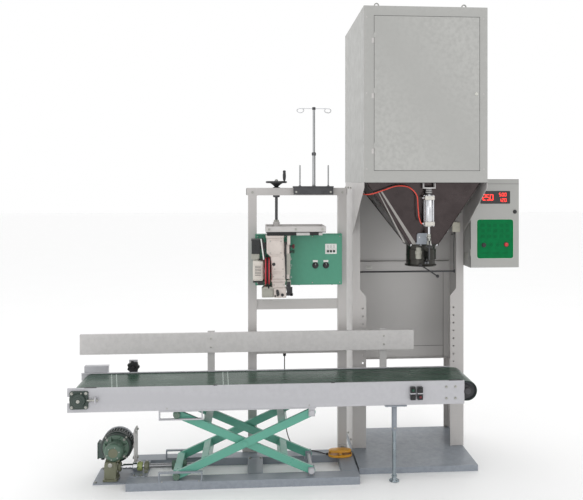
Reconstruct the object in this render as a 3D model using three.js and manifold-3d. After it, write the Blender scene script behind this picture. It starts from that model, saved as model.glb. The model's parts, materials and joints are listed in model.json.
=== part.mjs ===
// Bag filling and closing machine: a sewing head on a portal, above a belt conveyor that rides on a
// scissor lift, beside a weighing cabinet with a hopper, a bag spout and a control panel.
// Millimetres, +X along the conveyor towards the filler, +Y away from the operator, +Z up.
// Pieces are laid out in a bench frame: z = 0 is the floor, y = 0 is the front face of the
// conveyor. The last lines move everything so that the origin is the middle of the footprint.
import * as THREE from "three";
import { ConvexGeometry } from "three/addons/geometries/ConvexGeometry.js";
import { mergeVertices } from "three/addons/utils/BufferGeometryUtils.js";
import Module from "manifold-3d";

const wasm = await Module();
wasm.setup();

// ---------------------------------------------------------------- driving dimensions

const GAP = 0.4; // between pieces that touch

// conveyor
const CONV = { x0: -1169, x1: 1331, y1: 360, z0: 492, z1: 642, web: 4 };
const HEAD = { x: 1354, z: 571, r: 59.7 };
const TAIL = { x: -1096, z: 571, r: 59.7 };
const BELT = { y0: 13.2, y1: 346.8, thick: 4 };
const RAIL = { x0: -1176, x1: 1076, y0: 335, y1: 359, z0: 768, z1: 902, posts: [-310, 868] };
const LEG = { x: 878, y: 22, rod: 12.5, sleeve: 17 };

// scissor lift
const LIFT = {
  slideX: -502, fixedX: 346, lowZ: 80, highZ: 458, bar: 50, outer: [8, 30], inner: [33, 55],
  depth: 360, spread: 265, tube: 50, pin: 12, roller: 21.5,
};
const RAILS = { x0: -812, x1: 652, front: [-15, 85], rear: [350, 450], high: 50, wall: 5 };
const SLOT = { x0: -612, x1: -340, bar: 8, half: 22.5 };
const SCREW = { y: 180, z: 80, r: 15 };
const MOTOR = { x: -915, z: 190, r: 104, y0: 216, y1: 330 };

// sewing station
const PORTAL = { x0: -62, x1: 626, y0: 452, y1: 512, tube: 60, wall: 3, top: 1826 };
const HOIST = { x: 135, y: 482, r: 10, wheelZ: 1918, wheelR: 75 };
const BOX = { x0: -12, x1: 585, y0: 385, y1: 449, z0: 1211, z1: 1561 };
const SEW = { y0: 235, y1: 375 };
const PULLEY = { y: 284, z: 1322, r: 97 };

// filler
const FILL = { x0: 672, x1: 1470, front: 484, back: 880, base: 40, sheet: 4 };
const CAB = { y0: -38, y1: 900, z0: 1915, z1: 3033, sheet: 3 };
const DOOR = { x0: 739, x1: 1418, z0: 1991, z1: 2970 };
const HOPPER = {
  top: { x0: 702, x1: 1440, y0: 24, y1: 450, z: 1911 },
  low: { x0: 986, x1: 1186, y0: 80, y1: 280, z: 1520 },
  wall: 4,
};
const SPOUT = { x: 1086, y: 180, r: 95, rim: 104, z0: 1365 };
const GRIP = { x: 1098, y: -2, r: 28, pivotY: 60, pivotZ: 1395 };
const PANEL = { x0: 1475, x1: 1821, y0: 338, y1: 528, z0: 1324, z1: 1938 };
const PEDAL = { x: 566, y: 345, long: 165, wide: 112, z: 50.5 };

// ---------------------------------------------------------------- shape helpers

const part = new THREE.Group();

// A closed three.js geometry as a manifold-3d solid, whichever way its faces were wound.
function solid(geometry) {
  const bare = geometry.index ? geometry.toNonIndexed() : geometry.clone();
  for (const name of Object.keys(bare.attributes)) {
    if (name !== "position") bare.deleteAttribute(name);
  }
  const merged = mergeVertices(bare, 1e-3);
  const p = merged.attributes.position.array;
  const at = (i) => new THREE.Vector3(p[3 * i], p[3 * i + 1], p[3 * i + 2]);
  const faces = [];
  let volume = 0;
  for (let i = 0; i < merged.index.count; i += 3) {
    const [a, b, c] = [0, 1, 2].map((k) => merged.index.getX(i + k));
    if (a === b || b === c || c === a) continue;
    faces.push([a, b, c]);
    volume += at(a).dot(at(b).cross(at(c)));
  }
  const wound = volume < 0 ? faces.map(([a, b, c]) => [a, c, b]) : faces;
  return new wasm.Manifold(new wasm.Mesh({
    numProp: 3, vertProperties: p, triVerts: new Uint32Array(wound.flat()),
  }));
}

function box(x0, x1, y0, y1, z0, z1) {
  const g = new THREE.BoxGeometry(x1 - x0, y1 - y0, z1 - z0);
  return solid(g.translate((x0 + x1) / 2, (y0 + y1) / 2, (z0 + z1) / 2));
}

// Puts geometry drawn in a plane, with its depth on local z, square to the named axis: the two
// drawn coordinates become (y, z) on x, (x, z) on y and (x, y) on z.
function squareTo(axis, geometry) {
  const [X, Y, Z] = [new THREE.Vector3(1, 0, 0), new THREE.Vector3(0, 1, 0),
    new THREE.Vector3(0, 0, 1)];
  const basis = { x: [Y, Z, X], y: [X, Z, Y], z: [X, Y, Z] }[axis];
  return geometry.applyMatrix4(new THREE.Matrix4().makeBasis(...basis));
}

// A flat outline carried from one coordinate of the axis to another.
function slab(axis, outline, from, to) {
  const shape = new THREE.Shape(outline.map(([a, b]) => new THREE.Vector2(a, b)));
  const g = new THREE.ExtrudeGeometry(shape, { depth: to - from, bevelEnabled: false });
  return solid(squareTo(axis, g.translate(0, 0, from)));
}

// A turned piece on the axis through (a, b): profile is [radius, coordinate on the axis] pairs.
function turned(axis, profile, a, b, sides = 24) {
  const g = new THREE.LatheGeometry(profile.map(([r, h]) => new THREE.Vector2(r, h)), sides);
  return solid(squareTo(axis, g.rotateX(Math.PI / 2).translate(a, b, 0)));
}

const rod = (axis, r, from, to, a, b, sides = 20) =>
  turned(axis, [[0, from], [r, from], [r, to], [0, to]], a, b, sides);

const hull = (points) =>
  solid(new ConvexGeometry(points.map(([x, y, z]) => new THREE.Vector3(x, y, z))));

// The eight corners of a frustum between two level rectangles.
const corners = ({ x0, x1, y0, y1, z }) =>
  [[x0, y0, z], [x1, y0, z], [x0, y1, z], [x1, y1, z]];
const frustum = (low, high) => hull([...corners(low), ...corners(high)]);
const shrunk = (r, by, z) => ({ x0: r.x0 + by, x1: r.x1 - by, y0: r.y0 + by, y1: r.y1 - by, z });

// An arc of points in a plane, in degrees.
function arc(a, b, r, from, to, steps) {
  const points = [];
  for (let i = 0; i <= steps; i++) {
    const t = THREE.MathUtils.degToRad(from + ((to - from) * i) / steps);
    points.push([a + r * Math.cos(t), b + r * Math.sin(t)]);
  }
  return points;
}

// A round cord or bent wire through points.
function cord(points, r, steps, sides = 8) {
  const path = new THREE.CatmullRomCurve3(points.map((p) => new THREE.Vector3(...p)),
    false, "centripetal");
  const ring = new THREE.Shape(arc(0, 0, r, 0, 360 - 360 / sides, sides - 1)
    .map(([a, b]) => new THREE.Vector2(a, b)));
  return solid(new THREE.ExtrudeGeometry(ring, { steps, extrudePath: path }));
}

const join = (first, ...rest) => rest.reduce((sum, next) => sum.add(next), first);
const cut = (first, ...rest) => rest.reduce((left, next) => left.subtract(next), first);
const mirrorY = (s, y) => s.mirror([0, 1, 0]).translate([0, 2 * y, 0]);

const PAINT = { color: 0xb2b0ae, metalness: 0.0, roughness: 0.5 };
const GREY = { color: 0xb7b8bb, metalness: 0.0, roughness: 0.45 };
const BASE = { color: 0x8f949a, metalness: 0.0, roughness: 0.5 };
const GREEN = { color: 0x5fa08c, metalness: 0.0, roughness: 0.45 };
const BLACK = { color: 0x17181a, metalness: 0.0, roughness: 0.5 };
const STEEL = { color: 0x8c8e90, metalness: 0.9, roughness: 0.35 };
const DARK = { color: 0x3c3d3f, metalness: 0.9, roughness: 0.45 };
const CAST = { color: 0xc8beb9, metalness: 0.0, roughness: 0.5 };
const look = (base, color) => ({ ...base, color });

function piece(name, shape, finish) {
  const { vertProperties, triVerts } = shape.getMesh();
  const g = new THREE.BufferGeometry();
  g.setAttribute("position", new THREE.BufferAttribute(new Float32Array(vertProperties), 3));
  g.setIndex(new THREE.BufferAttribute(new Uint32Array(triVerts), 1));
  const flat = g.toNonIndexed();
  flat.computeVertexNormals();
  const mesh = new THREE.Mesh(flat, new THREE.MeshStandardMaterial(finish));
  mesh.name = name;
  part.add(mesh);
}

// ---------------------------------------------------------------- scissor lift

const liftMid = LIFT.depth / 2;
const rise = LIFT.highZ - LIFT.lowZ;
const run = LIFT.fixedX - LIFT.slideX;
const slope = THREE.MathUtils.radToDeg(Math.atan2(rise, run));
const armLength = Math.hypot(rise, run);
const crossX = (LIFT.slideX + LIFT.fixedX) / 2;
const crossZ = (LIFT.lowZ + LIFT.highZ) / 2;
const bothSides = (s) => s.add(mirrorY(s, liftMid));

// An open-bottomed channel lying along x or y.
function channel(x0, x1, y0, y1, lengthwise) {
  const { high, wall } = RAILS;
  const hollow = lengthwise
    ? box(x0 - 1, x1 + 1, y0 + wall, y1 - wall, -1, high - wall)
    : box(x0 + wall, x1 - wall, y0 - 6, y1 + 6, -1, high - wall);
  return [box(x0, x1, y0, y1, 0, high), hollow];
}

// The slotted guide that a roller runs in, centred on height z.
function slotGuide(y0, y1, z) {
  const { x0, x1, bar, half } = SLOT;
  return cut(box(x0, x1, y0, y1, z - half - bar, z + half + bar),
    box(x0 + bar, x1 - bar, y0 - 1, y1 + 1, z - half, z + half));
}

// A pin bracket of two cheeks either side of an arm that spans [y0, y1].
function cheeks([y0, y1], x, z0, z1, z) {
  const plates = [[y0 - 9, y0 - 1], [y1 + 1, y1 + 9]]
    .map(([a, b]) => box(x - 20, x + 20, a, b, z0, z1));
  return cut(join(...plates), rod("y", LIFT.pin + GAP, y0 - 20, y1 + 20, x, z));
}

{
  const lowCheeks = cheeks(LIFT.inner, LIFT.fixedX, 44, 102, LIFT.lowZ);
  const members = [
    channel(RAILS.x0, RAILS.x1, ...RAILS.front, true),
    channel(RAILS.x0, RAILS.x1, ...RAILS.rear, true),
    channel(RAILS.x0, -712, 84, 351, false),
    channel(-62, 38, 84, 351, false),
    channel(552, RAILS.x1, 84, 351, false),
  ];
  const rearFoot = box(LIFT.fixedX - 26, LIFT.fixedX + 26, 295, 356, 40, 50);
  const gearFeet = box(-1037, RAILS.x0 + 2, 96, 345, 0, 9);
  const guides = [[-14, 6], [354, 374]].map(([a, b]) => slotGuide(a, b, LIFT.lowZ + 0.5));
  const frame = cut(join(...members.map((m) => m[0]), rearFoot, gearFeet, ...guides,
    lowCheeks, mirrorY(lowCheeks, liftMid)), ...members.map((m) => m[1]));
  piece("lift_base_frame", frame, BASE);
}

{
  const highCheeks = cheeks(LIFT.outer, LIFT.fixedX, 434, 492 - GAP, LIFT.highZ);
  const flats = bothSides(box(SLOT.x0, 374, 0, 40, 484, 492 - GAP));
  const ends = [SLOT.x0, 334].map((x) => box(x, x + 40, 38, 322, 484, 492 - GAP));
  const guides = bothSides(slotGuide(6, 26, LIFT.highZ));
  piece("lift_top_frame", join(flats, ...ends, guides, bothSides(highCheeks)), GREY);
}

// One side bar of a scissor pair, from (x0, z0) to (x1, z1), with holes of radius hole at its ends.
function scissorBar([y0, y1], x0, z0, x1, z1) {
  const tilt = THREE.MathUtils.radToDeg(Math.atan2(z1 - z0, x1 - x0));
  const r = LIFT.bar / 2;
  return slab("y", [...arc(x1, z1, r, tilt - 90, tilt + 90, 6),
    ...arc(x0, z0, r, tilt + 90, tilt + 270, 6)], y0, y1);
}

// Puts a piece made at the origin on a pair's centre line, either side of the crossing.
const onBar = (s, side, tilt) => s.rotate([0, -tilt, 0]).translate([
  crossX + side * LIFT.spread * Math.cos(THREE.MathUtils.degToRad(tilt)), 0,
  crossZ + side * LIFT.spread * Math.sin(THREE.MathUtils.degToRad(tilt))]);

// The two square tubes that tie a pair's bars together, and the drain holes into them.
function tied(bars, from, to, tilt) {
  const h = LIFT.tube / 2;
  const tube = box(-h, h, from, to, -h, h);
  const inside = join(box(3 - h, h - 3, from + 2, to - 2, 3 - h, h - 3),
    rod("y", 9, from - 40, to + 40, 0, 0, 12));
  return cut(join(bars, ...[-1, 1].map((side) => onBar(tube, side, tilt))),
    ...[-1, 1].map((side) => onBar(inside, side, tilt)));
}

const hole = (r, x, z) => rod("y", r, -60, 420, x, z, 16);

piece("scissor_pair_a", cut(
  tied(bothSides(scissorBar(LIFT.outer, LIFT.slideX, LIFT.lowZ, LIFT.fixedX, LIFT.highZ)),
    28, 332, slope),
  hole(LIFT.pin + GAP, LIFT.slideX, LIFT.lowZ), hole(LIFT.pin + GAP, LIFT.fixedX, LIFT.highZ),
  hole(LIFT.pin + GAP, crossX, crossZ)), GREEN);

piece("scissor_pair_b", join(cut(
  tied(bothSides(scissorBar(LIFT.inner, LIFT.slideX, LIFT.highZ, LIFT.fixedX, LIFT.lowZ)),
    53, 307, -slope),
  hole(LIFT.pin + GAP, LIFT.slideX, LIFT.highZ), hole(LIFT.pin + GAP, LIFT.fixedX, LIFT.lowZ)),
bothSides(join(rod("y", LIFT.pin, 0, 34, crossX, crossZ, 16),
  rod("y", 17, 1, 7.5, crossX, crossZ, 6)))), GREEN);

// The square tube that carries the nut, its stub axles and the two lower rollers.
{
  const h = 25;
  const { slideX: x, lowZ: z } = LIFT;
  const tube = box(x - h, x + h, 31, 329, z - h, z + h);
  const stub = join(rod("y", LIFT.pin, -14.5, 33, x, z, 16),
    rod("y", LIFT.roller, -13, 5, x, z + 0.5, 20));
  const rearStub = join(rod("y", LIFT.pin, 327, 374.5, x, z, 16),
    rod("y", LIFT.roller, 355, 373, x, z + 0.5, 20));
  const nut = rod("x", 33, x - h - 22, x + h + 22, SCREW.y, SCREW.z, 6);
  piece("nut_crossbar", cut(join(tube, stub, rearStub, nut),
    rod("x", SCREW.r + GAP, x - 90, x + 90, SCREW.y, SCREW.z, 16)), GREEN);
}

piece("upper_roller_axle", join(
  rod("y", LIFT.pin, 6, 354, LIFT.slideX, LIFT.highZ, 16),
  bothSides(rod("y", LIFT.roller, 8, 25, LIFT.slideX, LIFT.highZ, 20))), DARK);
piece("lower_pivot_axle", join(
  rod("y", LIFT.pin, 18, 342, LIFT.fixedX, LIFT.lowZ, 16),
  bothSides(rod("y", 18, 14, 23.5, LIFT.fixedX, LIFT.lowZ, 6))), DARK);
piece("upper_pivot_axle", join(
  rod("y", LIFT.pin, -6, 366, LIFT.fixedX, LIFT.highZ, 16),
  bothSides(rod("y", 18, -12, -1.5, LIFT.fixedX, LIFT.highZ, 6))), DARK);

piece("lead_screw", turned("x", [[0, -776], [11, -776], [11, -697], [SCREW.r, -697],
  [SCREW.r, -330], [0, -330]], SCREW.y, SCREW.z, 16), STEEL);
piece("screw_bearing_block", cut(
  join(box(-722, -700, 140, 220, 50.4, 62), box(-722, -700, 150, 210, 60, 82),
    rod("x", 30, -722, -700, SCREW.y, SCREW.z, 20)),
  rod("x", 11 + GAP, -730, -690, SCREW.y, SCREW.z, 16)), look(CAST, 0x73765a));
piece("shaft_coupling", cut(turned("x", [[0, -862], [17, -862], [17, -800], [28, -797],
  [28, -768], [24, -766], [24, -762], [28, -760], [28, -740], [0, -738]], SCREW.y, SCREW.z, 20),
rod("x", 11 + GAP, -778, -730, SCREW.y, SCREW.z, 16),
rod("x", 11 + GAP, -870, -828, SCREW.y, SCREW.z, 16)), look(STEEL, 0xa3b06a));

// Worm gearbox: feet, case, output boss towards the screw, input bell on top.
{
  const { x, z } = MOTOR;
  const case_ = join(box(x - 66, x + 28, 116, 212, 9.4, 24), box(x - 56, x + 18, 126, 206, 22, 128),
    rod("x", 52, x - 62, x + 24, SCREW.y, SCREW.z, 20), rod("x", 30, x + 20, x + 42, SCREW.y, SCREW.z),
    rod("x", 11, x + 40, x + 84, SCREW.y, SCREW.z, 16), rod("y", 46, 122, 200, x, z - 4),
    turned("y", [[0, 116], [36, 116], [59, 132], [59, 206], [84, 206], [84, 215.5], [0, 215.5]],
      x, z, 24));
  piece("worm_gearbox", case_.trimByPlane([0, -1, 0], -215.5), look(CAST, 0x73765a));
}

// Motor: finned barrel, end bell, fan cowl and terminal box.
{
  const { x, z, r, y0, y1 } = MOTOR;
  const ribs = [0, 1, 2].map((k) => [y0 + 24 + k * 24, y0 + 36 + k * 24]);
  const profile = [[0, y0], [r - 10, y0], [r - 4, y0 + 16]];
  ribs.forEach(([a, b]) => profile.push([r - 12, a], [r, a], [r, b], [r - 12, b]));
  profile.push([r - 6, y1 - 18], [r - 8, y1 - 2], [r - 20, y1], [0, y1]);
  const terminal = box(x - 124, x - 68, 236, 304, z - 78, z + 22);
  piece("lift_motor", join(turned("y", profile, x, z, 24), terminal,
    box(x - 20, x + 20, y0 + 20, y1 - 20, z - r - 8, z - r + 20)), look(CAST, 0x2a3a33));
}

// ---------------------------------------------------------------- conveyor

// Side beam of the conveyor: a web with a small lip above and a flange below, turned inwards.
const beamBody = join(box(CONV.x0, CONV.x1, 0, CONV.web, CONV.z0, CONV.z1),
  box(CONV.x0, CONV.x1, 0, 14, CONV.z1 - 4, CONV.z1),
  box(CONV.x0, CONV.x1, 0, 40, CONV.z0, CONV.z0 + 4));
const beam = cut(beamBody, box(CONV.x0 - 1, -1040, -1, 6, 551, 591),
  box(CONV.x0 - 1, -1030, 16, 41, CONV.z0 - 1, CONV.z0 + 5));

// Flange bearing with its take-up bolt, outside the web.
const tailBearing = cut(
  join(box(TAIL.x - 56, TAIL.x + 56, -14, -GAP, TAIL.z - 56, TAIL.z + 56),
    turned("y", [[0, -38], [26, -38], [38, -30], [44, -12], [0, -12]], TAIL.x, TAIL.z, 24),
    rod("x", 6, TAIL.x + 50, -990, -16, TAIL.z, 8),
    box(-998, -990, -30, -GAP, TAIL.z - 19, TAIL.z + 19)),
  rod("y", 13, -60, 10, TAIL.x, TAIL.z, 16));

// Plate that carries the head drum past the end of the beam.
const headPlate = cut(join(
  slab("y", [[1200, 500], [1300, 500], ...arc(HEAD.x, HEAD.z, 34, -60, 60, 6), [1300, 633],
    [1200, 633]], 4.4, 12.4),
  rod("y", 26, -4, 6, HEAD.x + 4, HEAD.z, 20)), rod("y", 13, -20, 20, HEAD.x, HEAD.z, 16));

const stationX = [992, 1038];
const WELL_FLOOR = -10.8; // leaves 3.8 mm behind a button for its travel
{
  const housings = stationX.map((x) => box(x - 17, x + 17, -26, 1, 529, 611));
  const wells = stationX.flatMap((x) => [548, 592].map((z) => rod("y", 11, -30, WELL_FLOOR, x, z, 16)));
  const caps = [[992, 548], [1038, 592]].map(([x, z]) => rod("y", 10, -29, WELL_FLOOR + 1, x, z, 16));
  piece("conveyor_beam_front", join(cut(join(beam, ...housings), ...wells), ...caps), GREY);
}
{
  const rearBearing = mirrorY(tailBearing.translate([0, 0.5, 0]), 180).trimByPlane([0, 1, 0], 359);
  const knobArm = join(box(-862, -806, 358, 396, 590, 600), box(-862, -806, 390, 396, 590, 716));
  const seat = join(rearBearing.translate([0, -0.4, 0]),
    box(TAIL.x - 56, TAIL.x + 56, 358, 374, 515, 545), mirrorY(headPlate, 180).translate([0, 1, 0]));
  const rear = cut(join(mirrorY(beam, 180), seat, knobArm),
    rod("y", 9.4, 380, 400, -834, 668, 16));
  piece("conveyor_beam_rear", rear, GREY);
}

piece("belt_bed", join(box(-1028, 1282, 18, 342, 627, 630.4), box(-1028, 1282, 18, 21, 600, 628),
  box(-1028, 1282, 339, 342, 600, 628),
  ...[-900, -170, 560, 1150].map((x) => box(x, x + 40, 4.5, 355.5, 572, 601)),
  ...[-900, -170, 560, 1150].map((x) => box(x, x + 40, 19, 24, 598, 612)),
  ...[-900, -170, 560, 1150].map((x) => box(x, x + 40, 336, 341, 598, 612))), BASE);

// A belt outline: half circles round the two drums, joined by the straight runs.
const loop = (grow) => [
  ...arc(HEAD.x, HEAD.z, HEAD.r + grow, -90, 90, 14),
  ...arc(TAIL.x, TAIL.z, TAIL.r + grow, 90, 270, 14)];
piece("conveyor_belt", cut(slab("y", loop(0.3 + BELT.thick), BELT.y0, BELT.y1),
  slab("y", loop(0.5), BELT.y0 - 1, BELT.y1 + 1)), look(BLACK, 0x3a4e44));

const drum = (d) => turned("y", [[0, -2], [12.5, -2], [12.5, 19], [d.r, 19], [d.r, 341], [12.5, 341],
  [12.5, 362], [0, 362]], d.x, d.z, 28);
piece("head_drum", drum(HEAD), DARK);
piece("tail_drum", join(drum(TAIL), rod("y", 12.5, -36, 396, TAIL.x, TAIL.z, 16)), DARK);
piece("take_up_bearing_front", tailBearing, look(CAST, 0x35403c));
piece("drum_bracket_front", headPlate, BLACK);

piece("leg_sleeve", cut(join(box(LEG.x - 64, LEG.x + 78, -8, 52, 485, 492 - GAP),
  rod("z", LEG.sleeve, 323, 487, LEG.x, LEG.y, 20)),
rod("z", LEG.rod + GAP, 300, 500, LEG.x, LEG.y, 20)), BASE);
piece("leg_foot", turned("z", [[0, 0], [32, 0], [32, 6], [22, 20], [LEG.rod, 22], [LEG.rod, 484],
  [0, 484]], LEG.x, LEG.y, 20), STEEL);

const button = (x, z) => turned("y", [[0, -31], [7, -31], [8.5, -29], [8.5, -14.6], [0, -14.6]],
  x, z, 16);
piece("start_button", button(stationX[0], 592), look(BLACK, 0x2e8b57));
piece("stop_button", button(stationX[1], 548), look(BLACK, 0xb3261e));

{
  const { x0, x1, y0, y1, z0, z1, posts } = RAIL;
  const skin = cut(box(x0, x1, y0, y1, z0, z1), box(x0 - 1, x1 + 1, y0 + 3, y1 + 1, z0 + 3, z1 - 3));
  const legs = posts.map((x) => join(box(x - 24, x + 24, 360.5, 372, 520, 910),
    box(x - 24, x + 24, y0 + 2, 361.5, z0 + 30, z1 - 30)));
  piece("guide_rail", join(skin, ...legs), look(PAINT, 0xc6c3bf));
}

// Star knob with seven lobes on a stud.
{
  const lobes = [0, 1, 2, 3, 4, 5, 6].map((k) => {
    const t = (k / 7) * 2 * Math.PI;
    return rod("y", 12, 368, 386, -834 + 33 * Math.cos(t), 668 + 33 * Math.sin(t), 10);
  });
  piece("rail_clamp_knob", join(rod("y", 36, 368, 386, -834, 668), ...lobes,
    rod("y", 20, 362, 370, -834, 668, 16), rod("y", 9, 384, 408, -834, 668, 16)), BLACK);
}

// ---------------------------------------------------------------- sewing station

{
  const { x0, x1, y0, y1, tube, wall, top } = PORTAL;
  const solids = [
    box(x0, x0 + tube, y0, y1, 0, top + 1), box(x1 - tube, x1, y0, y1, 0, top + 1),
    box(x0 - 10, x1 + 1, y0, y1, top, top + 52),
    box(x0 + tube - 1, x1 - tube + 1, y0 + 6, y1 - 6, 1033, 1097),
    box(x0 + tube - 1, x1 - tube + 1, y0 + 6, y1 - 6, 724, 784),
    box(x0 - 40, x0 + tube + 40, y0 - 1, y1 + 40, 0, 10),
    box(x1 - tube - 40, 664, y0 - 1, y1 + 40, 0, 10),
  ];
  const hollows = [x0, x1 - tube].map((x) =>
    box(x + wall, x + tube - wall, y0 + wall, y1 - wall, -1, top - 4));
  const beamHollow = box(x0 - 11, x1 + 2, y0 + wall, y1 - wall, top + wall, top + 52 - wall);
  const railHollows = [[1033, 1097], [724, 784]].map(([a, b]) =>
    box(x0 + tube - 8, x1 - tube + 8, y0 + 9, y1 - 9, a + wall, b - wall));
  piece("portal_frame", cut(join(...solids), ...hollows, beamHollow, ...railHollows,
    rod("z", HOIST.r + GAP, top - 10, top + 70, HOIST.x, HOIST.y, 16)), PAINT);
}

piece("height_screw", join(rod("z", HOIST.r, 1560, HOIST.wheelZ - 34.5, HOIST.x, HOIST.y, 16),
  rod("z", 6, HOIST.wheelZ - 36, HOIST.wheelZ + 8, HOIST.x, HOIST.y, 12)), STEEL);

// Hand wheel: rim, three spokes, hub and a crank handle.
{
  const { x, y, wheelZ: z, wheelR: r } = HOIST;
  const rim = turned("z", [[r - 12, z - 6], [r - 4, z - 8], [r, z], [r - 4, z + 8],
    [r - 12, z + 6], [r - 12, z - 6]], x, y, 28);
  const spokes = [90, 210, 330].map((deg) =>
    box(0, r - 8, -7, 7, -4, 4).rotate([0, 0, deg]).translate([x, y, z]));
  const hub = turned("z", [[0, z - 34], [18, z - 34], [18, z - 14], [13, z - 6], [13, z + 10],
    [0, z + 10]], x, y, 20);
  const grip = turned("z", [[0, z], [8, z], [8, z + 12], [11, z + 30], [9, z + 78], [0, z + 82]],
    x + 54, y - 40, 14);
  piece("handwheel", cut(join(rim, ...spokes, hub, grip),
    rod("z", 6 + GAP, z - 40, z + 20, x, y, 12)), BLACK);
}

// Carriage: the top plate, its nut, and the guide arms hidden behind the control box.
{
  const inner = [PORTAL.x0 + PORTAL.tube + GAP, PORTAL.x1 - PORTAL.tube - GAP];
  piece("head_carriage", cut(join(
    box(57, 460, 240, 506, 1583, 1589), box(57, 460, 240, 246, 1583, 1622),
    box(57, 63, 240, 506, 1583, 1622), box(454, 460, 240, 506, 1583, 1622),
    box(57, 460, 500, 506, 1583, 1622), box(80, 437, 245, 375, 1562, 1584),
    box(230, 340, 449.5, 462, 1280, 1590), box(inner[0], inner[1], 449.5, 500, 1440, 1500),
    rod("z", 24, 1578, 1640, HOIST.x, HOIST.y)),
  rod("z", HOIST.r + GAP, 1400, 1660, HOIST.x, HOIST.y, 16)), PAINT);
}

// Control box, a folded shell that is open at the back.
{
  const { x0, x1, y0, y1, z0, z1 } = BOX;
  const shell = cut(box(x0, x1, y0, y1, z0, z1), box(x0 + 3, x1 - 3, y0 + 3, y1 + 1, z0 + 3, z1 - 3));
  const holes = [400, 473].map((x) => rod("y", 6 + GAP, y0 - 5, y0 + 8, x, 1345, 16));
  const plate = box(471, 545, y0 - 3, y0 + 1, 1426, 1490);
  const dots = [487, 508, 529].map((x) => rod("y", 7, y0 - 12, y0, x, 1440, 12));
  piece("control_box", cut(join(shell, plate, ...dots), ...holes), look(GREEN, 0x589b82));
}
const selector = (x) => {
  const { y0 } = BOX;
  return join(rod("y", 19, y0 - 11, y0 - GAP, x, 1345, 20), rod("y", 6, y0 - 2, y0 + 16, x, 1345, 16),
    box(x - 6, x + 6, y0 - 27, y0 - 8, 1327, 1363));
};
piece("selector_left", selector(400), BLACK);
piece("selector_right", selector(473), BLACK);

// Sewing head casting: top flange, upright body, bottom block and the arm on its right side.
{
  const { y0, y1 } = SEW;
  const body = join(box(60, 178, y0 - 5, y1 - 5, 1545, 1561.5),
    hull([...corners({ x0: 62, x1: 178, y0, y1: y1 - 5, z: 1546 }),
      ...corners({ x0: 64, x1: 176, y0, y1: y1 - 5, z: 1440 })]),
    hull([...corners({ x0: 64, x1: 178, y0, y1: y1 - 5, z: 1441 }),
      ...corners({ x0: 90, x1: 182, y0: y0 + 2, y1: y1 - 5, z: 1422 })]),
    hull([...corners({ x0: 90, x1: 182, y0: y0 + 2, y1: y1 - 5, z: 1423 }),
      ...corners({ x0: 95, x1: 188, y0: y0 + 4, y1: y1 - 5, z: 1315 })]),
    box(95, 188, y0 + 4, y1 - 5, 1262, 1316), box(92, 191, y0, y1 - 8, 1255, 1268),
    box(104, 186, y0 + 8, y1 - 10, 1212, 1256), box(113, 194, y0 + 2, y1 - 6, 1146, 1214),
    box(184, 216, y0 + 24, y1 - 24, 1268, 1500), box(174, 216, y0 + 24, y1 - 24, 1430, 1500));
  const gland = rod("y", 9, y0 - 10, y0 + 20, 111, 1372, 16);
  const barBore = rod("z", 5 + GAP, 1200, 1400, 204, 305, 12);
  const footBore = rod("z", 5 + GAP, 1200, 1400, 204, 280, 12);
  const tensionBore = rod("x", 5 + GAP, 200, 240, 300, 1484, 12);
  const pulleyBore = rod("x", 10 + GAP, 40, 112, PULLEY.y, PULLEY.z, 16);
  piece("sewing_head_casting", cut(body, gland, barBore, footBore, tensionBore, pulleyBore), CAST);
}

piece("needle_bar", join(rod("z", 5, 1190, 1330, 204, 305, 12), rod("z", 9, 1196, 1224, 204, 305, 12),
  rod("z", 2, 1152, 1192, 204, 305, 8)), STEEL);
piece("presser_foot", join(rod("z", 5, 1172, 1320, 204, 280, 12),
  box(194, 239, 262, 298, 1160, 1174), box(226, 239, 262, 298, 1160, 1216)), look(DARK, 0x1d1d20));
piece("thread_tension_unit", join(rod("x", 5, 202, 252, 300, 1484, 12),
  turned("x", [[0, 217], [20, 217], [20, 222], [12, 226], [12, 230], [17, 234], [17, 248], [14, 252],
    [0, 252]], 300, 1484, 20)), STEEL);
piece("looper_cover", slab("y", [[30, 1147], [112.5, 1147], [112.5, 1211.5],
  [103.5, 1211.5], [103.5, 1222], [46, 1222], [30, 1206]],
  SEW.y0 + 12, SEW.y1 - 30), look(CAST, 0x8a8c7e));

// Motor of the sewing head and the capacitor box above it, to the left of the pulley.
piece("head_motor", join(slab("x", [[252, 1256], [348, 1256], [352, 1270], [352, 1384], [340, 1397],
  [260, 1397], [248, 1384], [248, 1270]], -29, 46), rod("x", 20, 44, 49, PULLEY.y, PULLEY.z, 20),
box(-20, 40, 345, 384.5, 1300, 1350)), look(CAST, 0xd8d4cc));
piece("capacitor_box", join(box(-37, 22, 250, 340, 1438, 1537), box(-30, 14, 262, 328, 1397.4, 1440),
  box(20, 59.5, 268, 322, 1468, 1520), box(-24, 10, 338, 384.5, 1470, 1510)), look(BLACK, 0x4a4b46));
{
  const { y, z, r } = PULLEY;
  const web = [[0, 53], [r - 26, 53], [r - 20, 51], [r - 3, 51], [r, 54], [r, 58], [r - 12, 64],
    [r - 12, 70], [r, 76], [r, 82], [r - 3, 85], [r - 20, 85], [r - 24, 72], [24, 72], [22, 85],
    [0, 85]];
  piece("head_pulley", join(turned("x", web, y, z, 28), rod("x", 10, 84, 106, y, z, 16)),
    look(STEEL, 0xc84632));
}

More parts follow.
